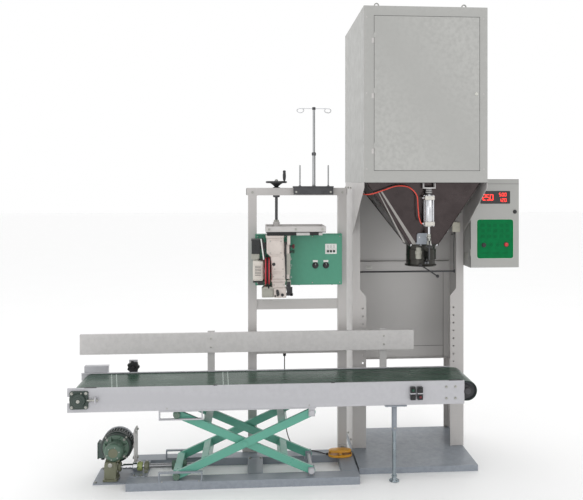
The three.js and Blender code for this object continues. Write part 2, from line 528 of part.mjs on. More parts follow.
// Spool tray and thread post on the portal.
{
  const T = PORTAL.top + 52;
  const tray = join(box(249, 529, 400, 500, T + GAP, T + 4), box(249, 529, 400, 403, T - 40, T + 4));
  const post = join(rod("z", 11, T + 3, 2120, 397, 470, 12), rod("z", 9, 2118, 2440, 397, 470, 12));
  const pins = [298, 496].map((x) => turned("z", [[0, T + 2], [26, T + 2], [26, T + 8], [5, T + 10],
    [5, 2037], [0, 2037]], x, 450, 12));
  const arms = [-1, 1].map((s) => cord([[397, 470, 2433], [397 + s * 60, 470, 2433],
    [397 + s * 105, 466, 2432], [397 + s * 121, 456, 2424], [397 + s * 119, 444, 2412],
    [397 + s * 106, 440, 2408], [397 + s * 96, 447, 2413]], 4, 14, 6));
  piece("thread_stand", join(tray, post, ...pins, ...arms), look(DARK, 0x4a4a4c));
}

// ---------------------------------------------------------------- filler

piece("bagger_base_plate", cut(box(668, 1464, 135, 880, 0, FILL.base),
  box(672, 1460, 139, 876, -1, FILL.base - 4)), BASE);

// Side frame: a wall, a stiffening flange on its front edge and a gusset up to the cabinet.
function sideFrame(wall, inward) {
  const [w0, w1] = wall;
  const face = (a, b) => (inward > 0 ? [w0 + a, w0 + b] : [w1 - b, w1 - a]);
  const flangeEdge = [[0, 40.4], [97, 40.4], [97, 1110], [54, 1160], [54, 1911], [0, 1911]];
  const x = (d) => (inward > 0 ? w0 + d : w1 - d);
  const flange = slab("y", flangeEdge.map(([d, z]) => [x(d), z]), FILL.front, FILL.front + 4);
  const side = slab("x", [[FILL.front, 40.4], [876, 40.4], [876, 1914.5], [-36, 1914.5],
    [-36, 1880], [FILL.front, 1555]], w0, w1);
  const lip = box(...face(0, 40), 872, 876, 40.4, 1911);
  const holes = [0, 1, 2, 3, 4, 5, 6, 7].map((k) =>
    rod("y", 7, FILL.front - 4, FILL.front + 8, x(73), 640 + 55 * k, 12));
  return cut(join(side, flange, lip), ...holes);
}
piece("left_side_frame", sideFrame([672, 676], 1), PAINT);
piece("right_side_frame", sideFrame([1466, 1470], -1), PAINT);

piece("rear_panel", join(box(677, 1465, 846, 849, 580, 1911), box(677, 1465, 820, 849, 1312, 1318),
  box(677, 1465, 820, 849, 580, 583), box(677, 680, 820, 849, 580, 1911),
  box(1462, 1465, 820, 849, 580, 1911)), PAINT);

// Cabinet: open below where the product drops, with lifting eyes on the roof.
{
  const { y0, y1, z0, z1, sheet } = CAB;
  const shell = cut(box(FILL.x0, FILL.x1, y0, y1, z0, z1),
    box(FILL.x0 + sheet, FILL.x1 - sheet, y0 + sheet, y1 - sheet, z0 + sheet, z1 - sheet),
    box(DOOR.x0 - 2, DOOR.x1 + 2, y0 - 2, y0 + 6, DOOR.z0 - 2, DOOR.z1 + 2),
    box(790, 1352, 70, 400, z0 - 2, z0 + 8),
    rod("z", 110, z1 - 10, z1 + 10, 1071, 420, 24));
  const eyes = [766, 1339].map((x) => join(rod("z", 9, z1 - 3, z1 + 10, x, 40, 12),
    cut(rod("y", 17, 36, 44, x, z1 + 20, 16), rod("y", 10, 30, 50, x, z1 + 20, 12))));
  const stop = join(box(FILL.x0 + 2, FILL.x1 - 2, y0 + 22, y0 + 25, DOOR.z1 - 10, z1 - 2),
    box(FILL.x0 + 2, FILL.x1 - 2, y0 + 22, y0 + 25, z0 + 2, DOOR.z0 + 10));
  piece("cabinet_shell", join(shell, ...eyes, stop), look(PAINT, 0xbab9b6));
}
{
  const { x0, x1, z0, z1 } = DOOR;
  const y = CAB.y0 - 2;
  piece("cabinet_door", cut(box(x0, x1, y, y + 22, z0, z1),
    box(x0 + 2, x1 - 2, y + 2, y + 23, z0 + 2, z1 - 2)), look(PAINT, 0xbebdba));
}

{
  const { top, low, wall } = HOPPER;
  const outside = join(frustum(low, top), frustum(shrunk(low, 0, 1514), shrunk(low, 0, low.z + 1)),
    frustum(shrunk(top, -8, 1911), shrunk(top, -8, 1914.4)));
  const inside = join(frustum(shrunk(low, wall, low.z), shrunk(top, wall, top.z)),
    box(low.x0 + wall, low.x1 - wall, low.y0 + wall, low.y1 - wall, 1510, low.z + 4),
    frustum(shrunk(top, wall, 1910), shrunk(top, wall, 1920)));
  piece("weigh_hopper", cut(outside, inside), look(DARK, 0x8b8d90));
}
{
  const { x, y, r, rim, z0 } = SPOUT;
  const outer = turned("z", [[0, z0], [rim, z0], [rim, z0 + 8], [r, z0 + 12], [r, 1508], [0, 1508]],
    x, y, 32);
  const flange = box(986, 1186, 80, 280, 1504, 1513.6);
  const lugs = [-1, 1].map((s) =>
    box(GRIP.x + s * 9 - 3, GRIP.x + s * 9 + 3, GRIP.pivotY - 8, 90, 1383, 1406));
  piece("bag_spout", cut(join(outer, flange, ...lugs), rod("z", r - 4, z0 - 5, 1520, x, y, 32),
    rod("x", 4.4, GRIP.x - 20, GRIP.x + 20, GRIP.pivotY, GRIP.pivotZ, 12)),
  look(DARK, 0x6f7173));
}

// Pneumatic bag clamp: barrel with square end caps hung from a bracket, rod, and hinged jaw.
{
  const { x, y, r } = GRIP;
  piece("clamp_cylinder", cut(join(rod("z", r, 1650, 1820, x, y, 20),
    box(x - 32, x + 32, y - 32, y + 32, 1639, 1664), box(x - 32, x + 32, y - 32, y + 32, 1804, 1829),
    box(x - 14, x + 14, y - 8, y + 8, 1828, 1880), box(x - 40, x + 40, y - 16, y + 16, 1876, 1914.5)),
  rod("z", 8 + GAP, 1600, 1790, x, y, 16)), STEEL);
  piece("cylinder_rod", join(rod("z", 8, 1556, 1770, x, y, 16), rod("z", 14, 1556, 1584, x, y, 6),
    cut(box(x - 12, x + 12, y - 12, y + 12, 1512, 1558), box(x - 5, x + 5, y - 14, y + 14, 1508, 1542))),
  STEEL);
}
{
  const { x: cx, y: cy, r } = SPOUT;
  const { x, y } = GRIP;
  const band = (a, b) => [...arc(cx, cy, b, 200, 340, 14), ...arc(cx, cy, a, 340, 200, 14)];
  piece("clamp_jaw", join(slab("z", band(r + 1, r + 7), 1412, 1475),
    box(x - 4.5, x + 4.5, GRIP.pivotY - 8, 83, 1387, 1425),
    box(x - 4.5, x + 4.5, y - 11, cy - r - 3, 1420, 1470),
    box(x - 4.5, x + 4.5, y - 11, y + 11, 1465, 1538),
    rod("x", 4, x - 15, x + 15, GRIP.pivotY, GRIP.pivotZ, 12)), look(DARK, 0x8f9194));
}

{
  const { x0, x1, y0, y1, z0, z1 } = PANEL;
  piece("panel_cabinet", cut(box(x0, x1, y0 + 14, y1, z0, z1),
    box(x0 + 3, x1 - 3, y0 + 10, y1 - 3, z0 + 3, z1 - 3)).add(
    join(box(x0, x0 + 14, y0 + 14, y0 + 17, z0, z1), box(x1 - 14, x1, y0 + 14, y0 + 17, z0, z1),
      box(x0, x1, y0 + 14, y0 + 17, z0, z0 + 24), box(x0, x1, y0 + 14, y0 + 17, z1 - 30, z1))),
  look(PAINT, 0xc3c2bf));
  const trim = join(box(1549, 1752, y0 - 4, y0 + 2, 1772, 1852), box(1521, 1779, y0 - 2, y0 + 2, 1388, 1659),
    rod("y", 14, y0 - 10, y0 + 1, 1569, 1481, 16), rod("y", 14, y0 - 10, y0 + 1, 1728, 1484, 16),
    rod("y", 9, y0 - 8, y0 + 1, 1622, 1482, 12), rod("y", 9, y0 - 8, y0 + 1, 1669, 1482, 12),
    rod("y", 13, y0 - 6, y0 + 1, 1790, 1712, 16));
  piece("panel_door", join(cut(box(x0 + 2, x1 - 2, y0, y0 + 13.6, z0 + 2, z1 - 2),
    box(x0 + 4, x1 - 4, y0 + 2, y0 + 15, z0 + 4, z1 - 4)), trim), look(PAINT, 0xc3c2bf));
}

// ---------------------------------------------------------------- foot pedal, cable and hose

const oval = (x, y, a, b, n) => Array.from({ length: n }, (_, k) => {
  const t = (2 * Math.PI * (k + 0.5)) / n;
  const [c, s] = [Math.cos(t), Math.sin(t)];
  return [x + a * Math.sign(c) * Math.abs(c) ** 0.8, y + b * Math.sign(s) * Math.abs(s) ** 0.8];
});
{
  const { x, y, long, wide, z } = PEDAL;
  const dish = cut(slab("z", oval(x, y, long / 2, wide / 2, 20), z, z + 16),
    slab("z", oval(x, y, long / 2 - 8, wide / 2 - 8, 20), z + 5, z + 30));
  const ears = [-1, 1].map((s) => cut(box(x - 12, x + 12, y + s * 42 - 4, y + s * 42 + 4, z + 1, z + 30),
    rod("y", 4.4, y - 60, y + 60, x, z + 21.3, 12)));
  piece("foot_pedal_base", join(dish, ...ears), look(GREEN, 0xc98f1d));
  const tread = join(slab("z", oval(x, y, long / 2 - 4, wide / 2 - 18, 20), z + 26, z + 38),
    slab("z", oval(x, y, long / 2 - 20, wide / 2 - 26, 20), z + 37, z + 44),
    box(x - 8, x + 8, y - 36, y + 36, z + 15, z + 28), rod("y", 4, y - 47, y + 47, x, z + 21.3, 12));
  piece("foot_pedal_treadle", tread, look(GREEN, 0xd19622));
}

piece("pedal_cable", cord([[PEDAL.x - 83, 345, 60], [466, 347, 60], [440, 385, 56], [400, 418, 54.5],
  [330, 436, 54.5], [280, 446, 60], [243, 455, 92], [218, 463, 140], [200, 468, 225], [193, 475, 380],
  [192, 481, 560], [192, 482, 700], [192, 482, 723.5]], 3.5, 40, 6), BLACK);
piece("air_hose", cord([[GRIP.x - 33, GRIP.y, 1652], [GRIP.x - 48, GRIP.y, 1652.5], [1035, 0, 1690],
  [1028, 0, 1760], [1018, -2, 1835], [968, -4, 1884], [893, -2, 1893], [792, 4, 1861],
  [731, 12, 1842], [700, 30, 1838], [688, 60, 1840], [686, 110, 1844]], 4, 36, 6), look(BLACK, 0xc23f2c));

// ---------------------------------------------------------------- origin

{
  const bounds = new THREE.Box3().setFromObject(part);
  const middle = bounds.getCenter(new THREE.Vector3());
  for (const mesh of part.children) {
    mesh.geometry.translate(-middle.x, -middle.y, -bounds.min.z);
  }
}

export default part;
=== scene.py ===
# Looks of the bag filling and closing machine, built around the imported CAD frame.
# Places are written in the bench frame of the CAD, in millimetres: z = 0 is the floor, y = 0 is the
# front face of the conveyor, x runs along it. at() turns them into metres in the row's frame.
import json
import math
import random

import bmesh
import bpy
from mathutils import Matrix, Vector


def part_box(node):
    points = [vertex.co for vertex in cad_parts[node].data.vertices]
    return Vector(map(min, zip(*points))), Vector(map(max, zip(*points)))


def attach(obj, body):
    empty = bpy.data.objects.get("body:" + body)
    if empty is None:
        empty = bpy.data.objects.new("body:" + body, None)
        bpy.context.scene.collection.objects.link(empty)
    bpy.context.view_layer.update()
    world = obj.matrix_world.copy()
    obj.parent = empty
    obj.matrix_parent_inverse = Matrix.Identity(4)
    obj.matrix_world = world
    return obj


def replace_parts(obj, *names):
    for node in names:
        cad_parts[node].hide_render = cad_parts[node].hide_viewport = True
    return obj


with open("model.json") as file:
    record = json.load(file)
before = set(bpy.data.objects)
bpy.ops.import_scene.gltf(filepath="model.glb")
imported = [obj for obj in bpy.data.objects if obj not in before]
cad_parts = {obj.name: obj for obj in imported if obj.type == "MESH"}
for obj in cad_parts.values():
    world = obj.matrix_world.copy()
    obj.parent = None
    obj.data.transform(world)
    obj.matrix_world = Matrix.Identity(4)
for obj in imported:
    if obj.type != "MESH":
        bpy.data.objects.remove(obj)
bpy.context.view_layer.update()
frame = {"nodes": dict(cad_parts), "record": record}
RNG = random.Random(7)
BODY = {node: body for body, nodes in frame["record"]["behaviour"]["bodies"].items()
        for node in nodes}

# The cabinet's low corner has these bench coordinates, which ties the two frames together.
CABINET_CORNER = Vector((672, -38, 1915))
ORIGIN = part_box("cabinet_shell")[0] - CABINET_CORNER / 1000


def at(x, y, z):
    """A bench place in millimetres as a place in the frame, in metres."""
    return Vector((x, y, z)) / 1000 + ORIGIN


# ------------------------------------------------------------------ materials

def srgb(r, g, b):
    """A colour read as 0 to 255 screen values, as the linear values Blender works in."""
    def linear(c):
        c /= 255
        return c / 12.92 if c <= 0.04045 else ((c + 0.055) / 1.055) ** 2.4
    return (linear(r), linear(g), linear(b), 1.0)


class Graph:
    """One node material: add() makes a node, wire() joins an output to an input."""

    def __init__(self, name):
        self.name = name
        self.material = bpy.data.materials.new(name + "_look")
        self.material.use_nodes = True
        self.tree = self.material.node_tree
        self.shader = self.tree.nodes["Principled BSDF"]
        self.place = self.add("ShaderNodeTexCoord").outputs["Object"]

    def add(self, kind, **values):
        node = self.tree.nodes.new(kind)
        for key, value in values.items():
            if hasattr(node, key):
                setattr(node, key, value)
            else:
                node.inputs[key.replace("_", " ")].default_value = value
        return node

    def wire(self, output, target):
        self.tree.links.new(output, target)
        return output

    def set(self, **values):
        for key, value in values.items():
            self.shader.inputs[key.replace("_", " ")].default_value = value

    def noise(self, scale, detail=3.0, rough=0.55, stretch=None):
        node = self.add("ShaderNodeTexNoise", Scale=scale, Detail=detail, Roughness=rough)
        if stretch is None:
            self.wire(self.place, node.inputs["Vector"])
        else:
            mapping = self.add("ShaderNodeMapping")
            mapping.inputs["Scale"].default_value = stretch
            self.wire(self.place, mapping.inputs["Vector"])
            self.wire(mapping.outputs["Vector"], node.inputs["Vector"])
        return node.outputs["Fac"]

    def span(self, value, low, high, to_low=0.0, to_high=1.0):
        node = self.add("ShaderNodeMapRange")
        for socket, number in zip(("From Min", "From Max", "To Min", "To Max"),
                                  (low, high, to_low, to_high)):
            node.inputs[socket].default_value = number
        self.wire(value, node.inputs["Value"])
        return node.outputs["Result"]

    def math(self, operation, a, b):
        node = self.add("ShaderNodeMath", operation=operation)
        for socket, value in zip(node.inputs, (a, b)):
            if isinstance(value, (int, float)):
                socket.default_value = value
            else:
                self.wire(value, socket)
        return node.outputs["Value"]

    def mix(self, factor, a, b):
        node = self.add("ShaderNodeMix", data_type="RGBA")
        sockets = (node.inputs[0], node.inputs[6], node.inputs[7])
        for socket, value in zip(sockets, (factor, a, b)):
            if hasattr(value, "is_output"):
                self.wire(value, socket)
            else:
                socket.default_value = value
        return node.outputs[2]

    def bump(self, height, strength, distance, under=None):
        node = self.add("ShaderNodeBump", Strength=strength, Distance=distance)
        self.wire(height, node.inputs["Height"])
        if under is not None:
            self.wire(under, node.inputs["Normal"])
        return node.outputs["Normal"]

    def edges(self, low=0.52, high=0.60, to_low=0.0, to_high=1.0):
        """A mask from how sharply the shape's surface turns: high on outward edges."""
        turn = self.add("ShaderNodeNewGeometry").outputs["Pointiness"]
        return self.span(turn, low, high, to_low, to_high)

    def weigh(self, mask, weight):
        return self.math("MULTIPLY", mask, weight)

    def finish(self, color, rough, normal=None, **values):
        """Wires the shader, sets the values that are constant and files the material in LOOKS."""
        for socket, output in (("Base Color", color), ("Roughness", rough), ("Normal", normal)):
            if output is not None:
                self.wire(output, self.shader.inputs[socket])
        self.set(**values)
        LOOKS[self.name] = self.material


LOOKS = {}


def tone(color, factor):
    """A lighter or darker shade of a colour."""
    return (*[min(1.0, c * factor) for c in color[:3]], 1.0)


def paint(name, color, rough=0.4, peel=1.0, worn=1.25, dust=0.25, coat=0.0):
    """Sprayed or powder paint: mottled tone, orange peel, dusty patches and rubbed edges."""
    g, color = Graph(name), srgb(*color)
    mottle = g.span(g.noise(1.1, 3.0), 0.35, 0.65)
    base = g.mix(mottle, tone(color, 0.98), tone(color, 1.015))
    grime = g.weigh(g.span(g.noise(6.0, 7.0, 0.65), 0.60, 0.80), dust)
    base = g.mix(grime, base, tone(color, 0.84))
    specks = g.span(g.noise(310.0, 2.0), 0.70, 0.74)
    base = g.mix(g.weigh(specks, 0.12), base, tone(color, 0.6))
    rubbed = g.weigh(g.edges(), g.span(g.noise(38.0, 5.0), 0.35, 0.6))
    base = g.mix(g.weigh(rubbed, 0.55), base, tone(color, worn))
    shine = g.span(g.noise(14.0, 6.0), 0.3, 0.7, rough - 0.07, rough + 0.1)
    waves = g.bump(g.noise(3.2, 2.0), 0.12, 0.004)
    g.finish(base, shine, g.bump(g.noise(620.0, 2.0), 0.10 * peel, 0.0004, waves),
             Coat_Weight=coat, Coat_Roughness=0.12, Metallic=0.0)


def cast_paint(name, color, rough=0.42, lumps=1.0, coat=0.15):
    """Enamel over a sand casting: soft lumps under a smooth skin, darker in the hollows."""
    g, color = Graph(name), srgb(*color)
    base = g.mix(g.span(g.noise(11.0, 6.0, 0.65), 0.35, 0.7), tone(color, 0.86), tone(color, 1.06))
    # Darker in the concave hollows, from the pointiness mask.
    base = g.mix(g.weigh(g.edges(0.42, 0.49, 1.0, 0.0), 0.5), base, tone(color, 0.45))
    oil = g.span(g.noise(24.0, 7.0, 0.7), 0.58, 0.72)
    base = g.mix(g.weigh(oil, 0.3), base, tone(color, 0.5))
    chips = g.weigh(g.edges(0.54, 0.62), g.span(g.noise(80.0, 4.0), 0.45, 0.55))
    base = g.mix(g.weigh(chips, 0.5), base, srgb(120, 120, 118))
    shine = g.span(g.noise(30.0, 4.0), 0.3, 0.7, rough - 0.1, rough + 0.12)
    big = g.bump(g.noise(45.0, 3.0), 0.22 * lumps, 0.002)
    g.finish(base, shine, g.bump(g.noise(420.0, 3.0), 0.14 * lumps, 0.0005, big),
             Coat_Weight=coat, Coat_Roughness=0.15)


def bare_metal(name, color, rough=0.3, brush=(1.0, 1.0, 40.0), scratches=1.0, stain=0.3):
    """Turned, drawn or brushed metal: fine lines along one direction, blotches of handling."""
    g, color = Graph(name), srgb(*color)
    lines = g.noise(90.0, 5.0, 0.7, brush)
    base = g.mix(g.span(lines, 0.3, 0.7), tone(color, 0.82), tone(color, 1.12))
    blotch = g.weigh(g.span(g.noise(13.0, 6.0), 0.5, 0.75), stain)
    base = g.mix(blotch, base, tone(color, 0.45))
    shade = g.span(lines, 0.3, 0.7, rough - 0.06, rough + 0.1)
    g.finish(base, g.math("ADD", shade, g.weigh(blotch, 0.25)),
             g.bump(lines, 0.12 * scratches, 0.0004), Metallic=1.0)


def rubbery(name, color, rough=0.45, grain=300.0, gloss=0.0):
    """Rubber, PVC or sheath: fine pores, scuffs and a little bloom."""
    g, color = Graph(name), srgb(*color)
    scuff = g.span(g.noise(18.0, 8.0, 0.7), 0.45, 0.7)
    base = g.mix(g.weigh(scuff, 0.4), color, tone(color, 1.5))
    g.finish(base, g.span(g.noise(26.0, 5.0), 0.3, 0.7, rough - 0.08, rough + 0.12),
             g.bump(g.noise(grain, 3.0), 0.1, 0.0004), Coat_Weight=gloss, Coat_Roughness=0.1)


def moulded(name, color, rough=0.3, coat=0.2, gleam=0.5):
    """Moulded plastic: faint spark texture, slight sink marks, mottled tone."""
    g, color = Graph(name), srgb(*color)
    base = g.mix(g.span(g.noise(30.0, 4.0), 0.35, 0.7), tone(color, 0.9), tone(color, 1.1))
    shine = g.span(g.noise(60.0, 4.0), 0.3, 0.7, rough - 0.06, rough + 0.1)
    sink = g.bump(g.noise(25.0, 2.0), 0.05, 0.001)
    g.finish(base, shine, g.bump(g.noise(1400.0, 2.0), 0.08, 0.0002, sink),
             Coat_Weight=coat, Coat_Roughness=0.1, Specular_IOR_Level=gleam)


def belting(name, color):
    """Glossy PVC belting: long streaks along its travel, scuffs, a faint weave."""
    g, color = Graph(name), srgb(*color)
    streaks = g.noise(14.0, 6.0, 0.6, (0.12, 3.0, 1.0))
    base = g.mix(g.span(streaks, 0.35, 0.65), tone(color, 0.75), tone(color, 1.25))
    dust = g.weigh(g.span(g.noise(5.0, 9.0, 0.7), 0.5, 0.7), 0.35)
    base = g.mix(dust, base, srgb(112, 128, 118))
    weave = g.add("ShaderNodeTexWave", Scale=160.0, Distortion=0.4)
    weave.bands_direction = "Y"
    g.wire(g.place, weave.inputs["Vector"])
    soft = g.bump(g.noise(5.0, 2.0), 0.12, 0.003)
    g.finish(base, g.span(streaks, 0.3, 0.7, 0.2, 0.34),
             g.bump(weave.outputs["Fac"], 0.03, 0.0003, soft), Specular_IOR_Level=0.2)


def glowing(name, color, strength):
    """A lit display; color is linear."""
    g = Graph(name)
    flicker = g.mix(g.noise(700.0), tone(color, 0.8), color)
    g.wire(flicker, g.shader.inputs["Emission Color"])
    g.finish(flicker, None, Emission_Strength=strength, Roughness=0.4)


paint("frame", (186, 183, 181), 0.42, dust=0.15)
# A darker copy of the frame paint for the cabinets: painted shade, offsetting the brighter light
# they get.
paint("cabinet", (166, 166, 163), 0.40, dust=0.12)
# A lighter copy of the frame paint for the rear panel: painted light, offsetting the shade it
# stands in.
paint("panel", (204, 202, 200), 0.42, dust=0.15)
paint("strap", (150, 147, 143), 0.4)
paint("rail", (188, 186, 185), 0.42, dust=0.12)
paint("beam", (180, 180, 184), 0.36, dust=0.12, coat=0.1)
paint("base", (132, 138, 146), 0.38, worn=1.4, dust=0.2, coat=0.1)
paint("arms", (88, 158, 138), 0.34, worn=1.4, dust=0.35, coat=0.25)
paint("box", (70, 144, 118), 0.42, peel=3.0, worn=1.3, coat=0.15)
cast_paint("head", (205, 195, 188), 0.36, 0.6, 0.3)
cast_paint("headmotor", (214, 209, 200), 0.34, 0.5, 0.3)
cast_paint("motor", (38, 52, 47), 0.36, 1.0, 0.25)
cast_paint("bell", (84, 110, 94), 0.4, 1.0, 0.2)
cast_paint("gear", (112, 114, 92), 0.5, 1.4, 0.05)
cast_paint("looper", (160, 159, 149), 0.42, 0.7, 0.2)
cast_paint("gate", (150, 156, 164), 0.36, 0.6, 0.3)
cast_paint("motorbox", (74, 92, 86), 0.38, 0.7, 0.25)
cast_paint("bearing", (52, 66, 60), 0.45, 1.5, 0.1)
bare_metal("steel", (172, 173, 175), 0.28)
bare_metal("dark", (86, 86, 88), 0.36, stain=0.5)
bare_metal("chrome", (214, 215, 218), 0.14, stain=0.15)
bare_metal("zinc", (176, 176, 170), 0.34, (1, 1, 1), stain=0.4)
# The hopper steel's dark brownish colour is a painted dark reflection.
bare_metal("hopper", (74, 67, 67), 0.2, (0.12, 0.12, 0.12), 0.5, 0.35)
bare_metal("gun", (66, 65, 62), 0.2, (1.0, 1.0, 45.0), stain=0.4)
bare_metal("spout", (132, 134, 137), 0.24, (1.0, 1.0, 45.0))
bare_metal("drum", (70, 72, 74), 0.45, (1.0, 20.0, 1.0))
cast_paint("coupling", (148, 160, 96), 0.4, 0.7, 0.1)
paint("blackpaint", (26, 27, 29), 0.36, worn=3.0, dust=0.5, coat=0.2)
moulded("black", (24, 25, 27), 0.32)
rubbery("rubber", (24, 24, 25), 0.55)
rubbery("cable", (28, 28, 29), 0.42, 500.0)
rubbery("hose_red", (206, 62, 44), 0.25, 700.0, 0.4)
paint("pulley", (182, 54, 62), 0.34, worn=1.3, dust=0.4, coat=0.3)
cast_paint("pedal", (212, 150, 30), 0.36, 0.8, 0.25)
belting("belt", (48, 72, 60))
rubbery("belt_joint", (128, 146, 136), 0.3, 300.0, 0.3)
# Dark grey for the lines in panel folds and creases: painted shade.
rubbery("shade_line_grey", (84, 82, 80), 0.6)
bare_metal("alu", (206, 203, 196), 0.32, (1, 1, 1), stain=0.2)
bare_metal("leg", (150, 160, 166), 0.26, (1.0, 1.0, 0.2), stain=0.2)
moulded("grey_plastic", (120, 122, 124), 0.4)
moulded("cream", (206, 203, 186), 0.4)
moulded("white", (222, 222, 218), 0.35)
moulded("membrane", (0, 112, 62), 0.5, 0.0, 0.12)
moulded("membrane_dark", (0, 104, 58), 0.5, 0.0, 0.12)
moulded("knob_red", (104, 30, 38), 0.32)
moulded("knob_green", (16, 72, 50), 0.32)
moulded("window", (12, 12, 13), 0.12, 0.6)
moulded("red_key", (190, 34, 28), 0.28, 0.4)
glowing("digits", (1.0, 0.03, 0.02, 1.0), 3.0)


# ------------------------------------------------------------------ mesh building

def axis_matrix(axis):
    """Turns a shape made along local z, so that its flat coordinates are those across the axis."""
    columns = {"x": ((0, 1, 0), (0, 0, 1), (1, 0, 0)),
               "y": ((1, 0, 0), (0, 0, 1), (0, 1, 0)),
               "z": ((1, 0, 0), (0, 1, 0), (0, 0, 1))}[axis]
    return Matrix(columns).transposed().to_4x4()


def arc(a, b, r, start, end, steps):
    """Points on a circle, both ends included; angles in degrees."""
    angles = [math.radians(start + (end - start) * i / steps) for i in range(steps + 1)]
    return [(a + r * math.cos(t), b + r * math.sin(t)) for t in angles]


def rounded(x0, x1, y0, y1, r, steps=6):
    """The outline of a rectangle with round corners."""
    return [*arc(x1 - r, y1 - r, r, 0, 90, steps), *arc(x0 + r, y1 - r, r, 90, 180, steps),
            *arc(x0 + r, y0 + r, r, 180, 270, steps), *arc(x1 - r, y0 + r, r, 270, 360, steps)]


class Build:
    """Gathers closed shapes in bench millimetres; done() or skin() turns them into one piece."""

    def __init__(self):
        self.bm = bmesh.new()
        self.body = "structure"

    def _add(self, verts, faces, matrix=None):
        made = [self.bm.verts.new(matrix @ Vector(v) if matrix else v) for v in verts]
        volume = 0.0
        for f in faces:
            a = made[f[0]].co
            for i in range(1, len(f) - 1):
                volume += a.dot(made[f[i]].co.cross(made[f[i + 1]].co))
        for f in faces:
            order = f if volume > 0 else tuple(reversed(f))
            self.bm.faces.new([made[i] for i in order])
        return self

    def box(self, x0, x1, y0, y1, z0, z1, turn=None):
        corners = [(x, y, z) for z in (z0, z1) for y in (y0, y1) for x in (x0, x1)]
        faces = [(0, 1, 3, 2), (4, 6, 7, 5), (0, 4, 5, 1), (2, 3, 7, 6), (0, 2, 6, 4), (1, 5, 7, 3)]
        return self._add(corners, faces, turn)

    def slab(self, axis, outline, start, end, turn=None):
        """An outline in the two other axes, run along the axis."""
        n = len(outline)
        m = axis_matrix(axis)
        verts = [(p, q, h) for h in sorted((start, end)) for p, q in outline]
        faces = [tuple(range(n)), tuple(range(2 * n - 1, n - 1, -1))]
        faces += [(i, i + n, (i + 1) % n + n, (i + 1) % n) for i in range(n)]
        return self._add(verts, faces, turn @ m if turn else m)

    def lathe(self, axis, profile, a, b, sides=48, turn=None):
        """Profile is (radius, place on the axis) pairs: from axis to axis, or a closed ring."""
        m = axis_matrix(axis) @ Matrix.Translation((a, b, 0))
        if turn:
            m = turn @ m
        open_ends = profile[0][0] < 1e-6 and profile[-1][0] < 1e-6
        verts, rings = [], []
        for r, h in profile:
            if r < 1e-6:
                rings.append([len(verts)])
                verts.append((0, 0, h))
            else:
                rings.append(list(range(len(verts), len(verts) + sides)))
                verts += [(r * math.cos(2 * math.pi * i / sides),
                           r * math.sin(2 * math.pi * i / sides), h) for i in range(sides)]
        faces = []
        pairs = list(zip(rings, rings[1:]))
        if not open_ends:
            pairs.append((rings[-1], rings[0]))
        for low, high in pairs:
            for i in range(sides):
                j = (i + 1) % sides
                if len(low) == 1 and len(high) > 1:
                    faces.append((low[0], high[j], high[i]))
                elif len(high) == 1 and len(low) > 1:
                    faces.append((low[i], low[j], high[0]))
                elif len(low) > 1:
                    faces.append((low[i], low[j], high[j], high[i]))
        return self._add(verts, faces, m)

    def rod(self, axis, r, start, end, a, b, sides=32, ease=0.0):
        low, high = sorted((start, end))
        profile = [(0, low), (r, low), (r, high), (0, high)]
        if ease:
            profile[1:3] = [(r - ease, low), (r, low + ease), (r, high - ease), (r - ease, high)]
        return self.lathe(axis, profile, a, b, sides)

    def tube(self, axis, inner, outer, start, end, a, b, sides=40):
        """A plain ring along an axis."""
        profile = [(inner, start), (outer, start), (outer, end), (inner, end)]
        return self.lathe(axis, profile, a, b, sides)

    def hull(self, points):
        made = [self.bm.verts.new(p) for p in points]
        bmesh.ops.convex_hull(self.bm, input=made)
        return self

    def prism(self, low, high):
        """A closed hull between two level rectangles, each (x0, x1, y0, y1, z)."""
        return self.hull([(x, y, r[4]) for r in (low, high) for x in r[:2] for y in r[2:4]])

    def hoop(self, axis, outer, inner, start, end):
        """A closed band between two outlines with the same number of points."""
        n = len(outer)
        verts = [(p[0], p[1], h) for h in (start, end) for ring in (outer, inner) for p in ring]
        faces = []
        for i in range(n):
            j = (i + 1) % n
            faces += [(i, j, j + 2 * n, i + 2 * n), (n + i, i + 3 * n, j + 3 * n, n + j),
                      (i, n + i, n + j, j), (2 * n + i, 2 * n + j, 3 * n + j, 3 * n + i)]
        return self._add(verts, faces, axis_matrix(axis))

    def sweep(self, points, r, sides=10, closed=False):
        """A round bar along bench points, with square-cut ends."""
        path = [Vector(p) for p in points]
        n = len(path)
        rings = []
        normal = None
        for i, p in enumerate(path):
            before = path[i - 1] if i or closed else p
            after = path[(i + 1) % n] if i < n - 1 or closed else p
            tangent = (after - before).normalized()
            if normal is None:
                side = Vector((0, 0, 1)) if abs(tangent.z) < 0.9 else Vector((1, 0, 0))
                normal = tangent.cross(side).normalized()
            normal = (normal - tangent * normal.dot(tangent)).normalized()
            other = tangent.cross(normal)
            rings.append([p + (normal * math.cos(t) + other * math.sin(t)) * r
                          for t in (2 * math.pi * k / sides for k in range(sides))])
        verts = [v for ring in rings for v in ring]
        faces = []
        for i in range(n if closed else n - 1):
            j = (i + 1) % n
            faces += [(i * sides + k, i * sides + (k + 1) % sides, j * sides + (k + 1) % sides,
                       j * sides + k) for k in range(sides)]
        if not closed:
            faces += [tuple(range(sides - 1, -1, -1)),
                      tuple(range((n - 1) * sides, n * sides))]
        return self._add(verts, faces)

    def bolt(self, axis, a, c, face, out, size=13.0, washer=True):
        """A hexagon head with a washer on a face; out is +1 or -1 along the axis."""
        if washer:
            self.rod(axis, 0.72 * size, face, face + out * 1.6, a, c, 24, 0.3)
            face += out * 1.6
        high = 0.42 * size
        self.hexagon(axis, a, c, 0.55 * size, RNG.uniform(0, 60), face, face + out * high)
        self.rod(axis, 0.30 * size, face + out * high, face + out * (high + 1.5), a, c, 16)

    def hexagon(self, axis, a, c, r, twist, start, end):
        return self.slab(axis, arc(a, c, r, twist, twist + 300, 5), start, end)

    def plate(self, axis, a0, a1, c0, c1, r, start, end, steps=6):
        return self.slab(axis, rounded(a0, a1, c0, c1, r, steps), start, end)

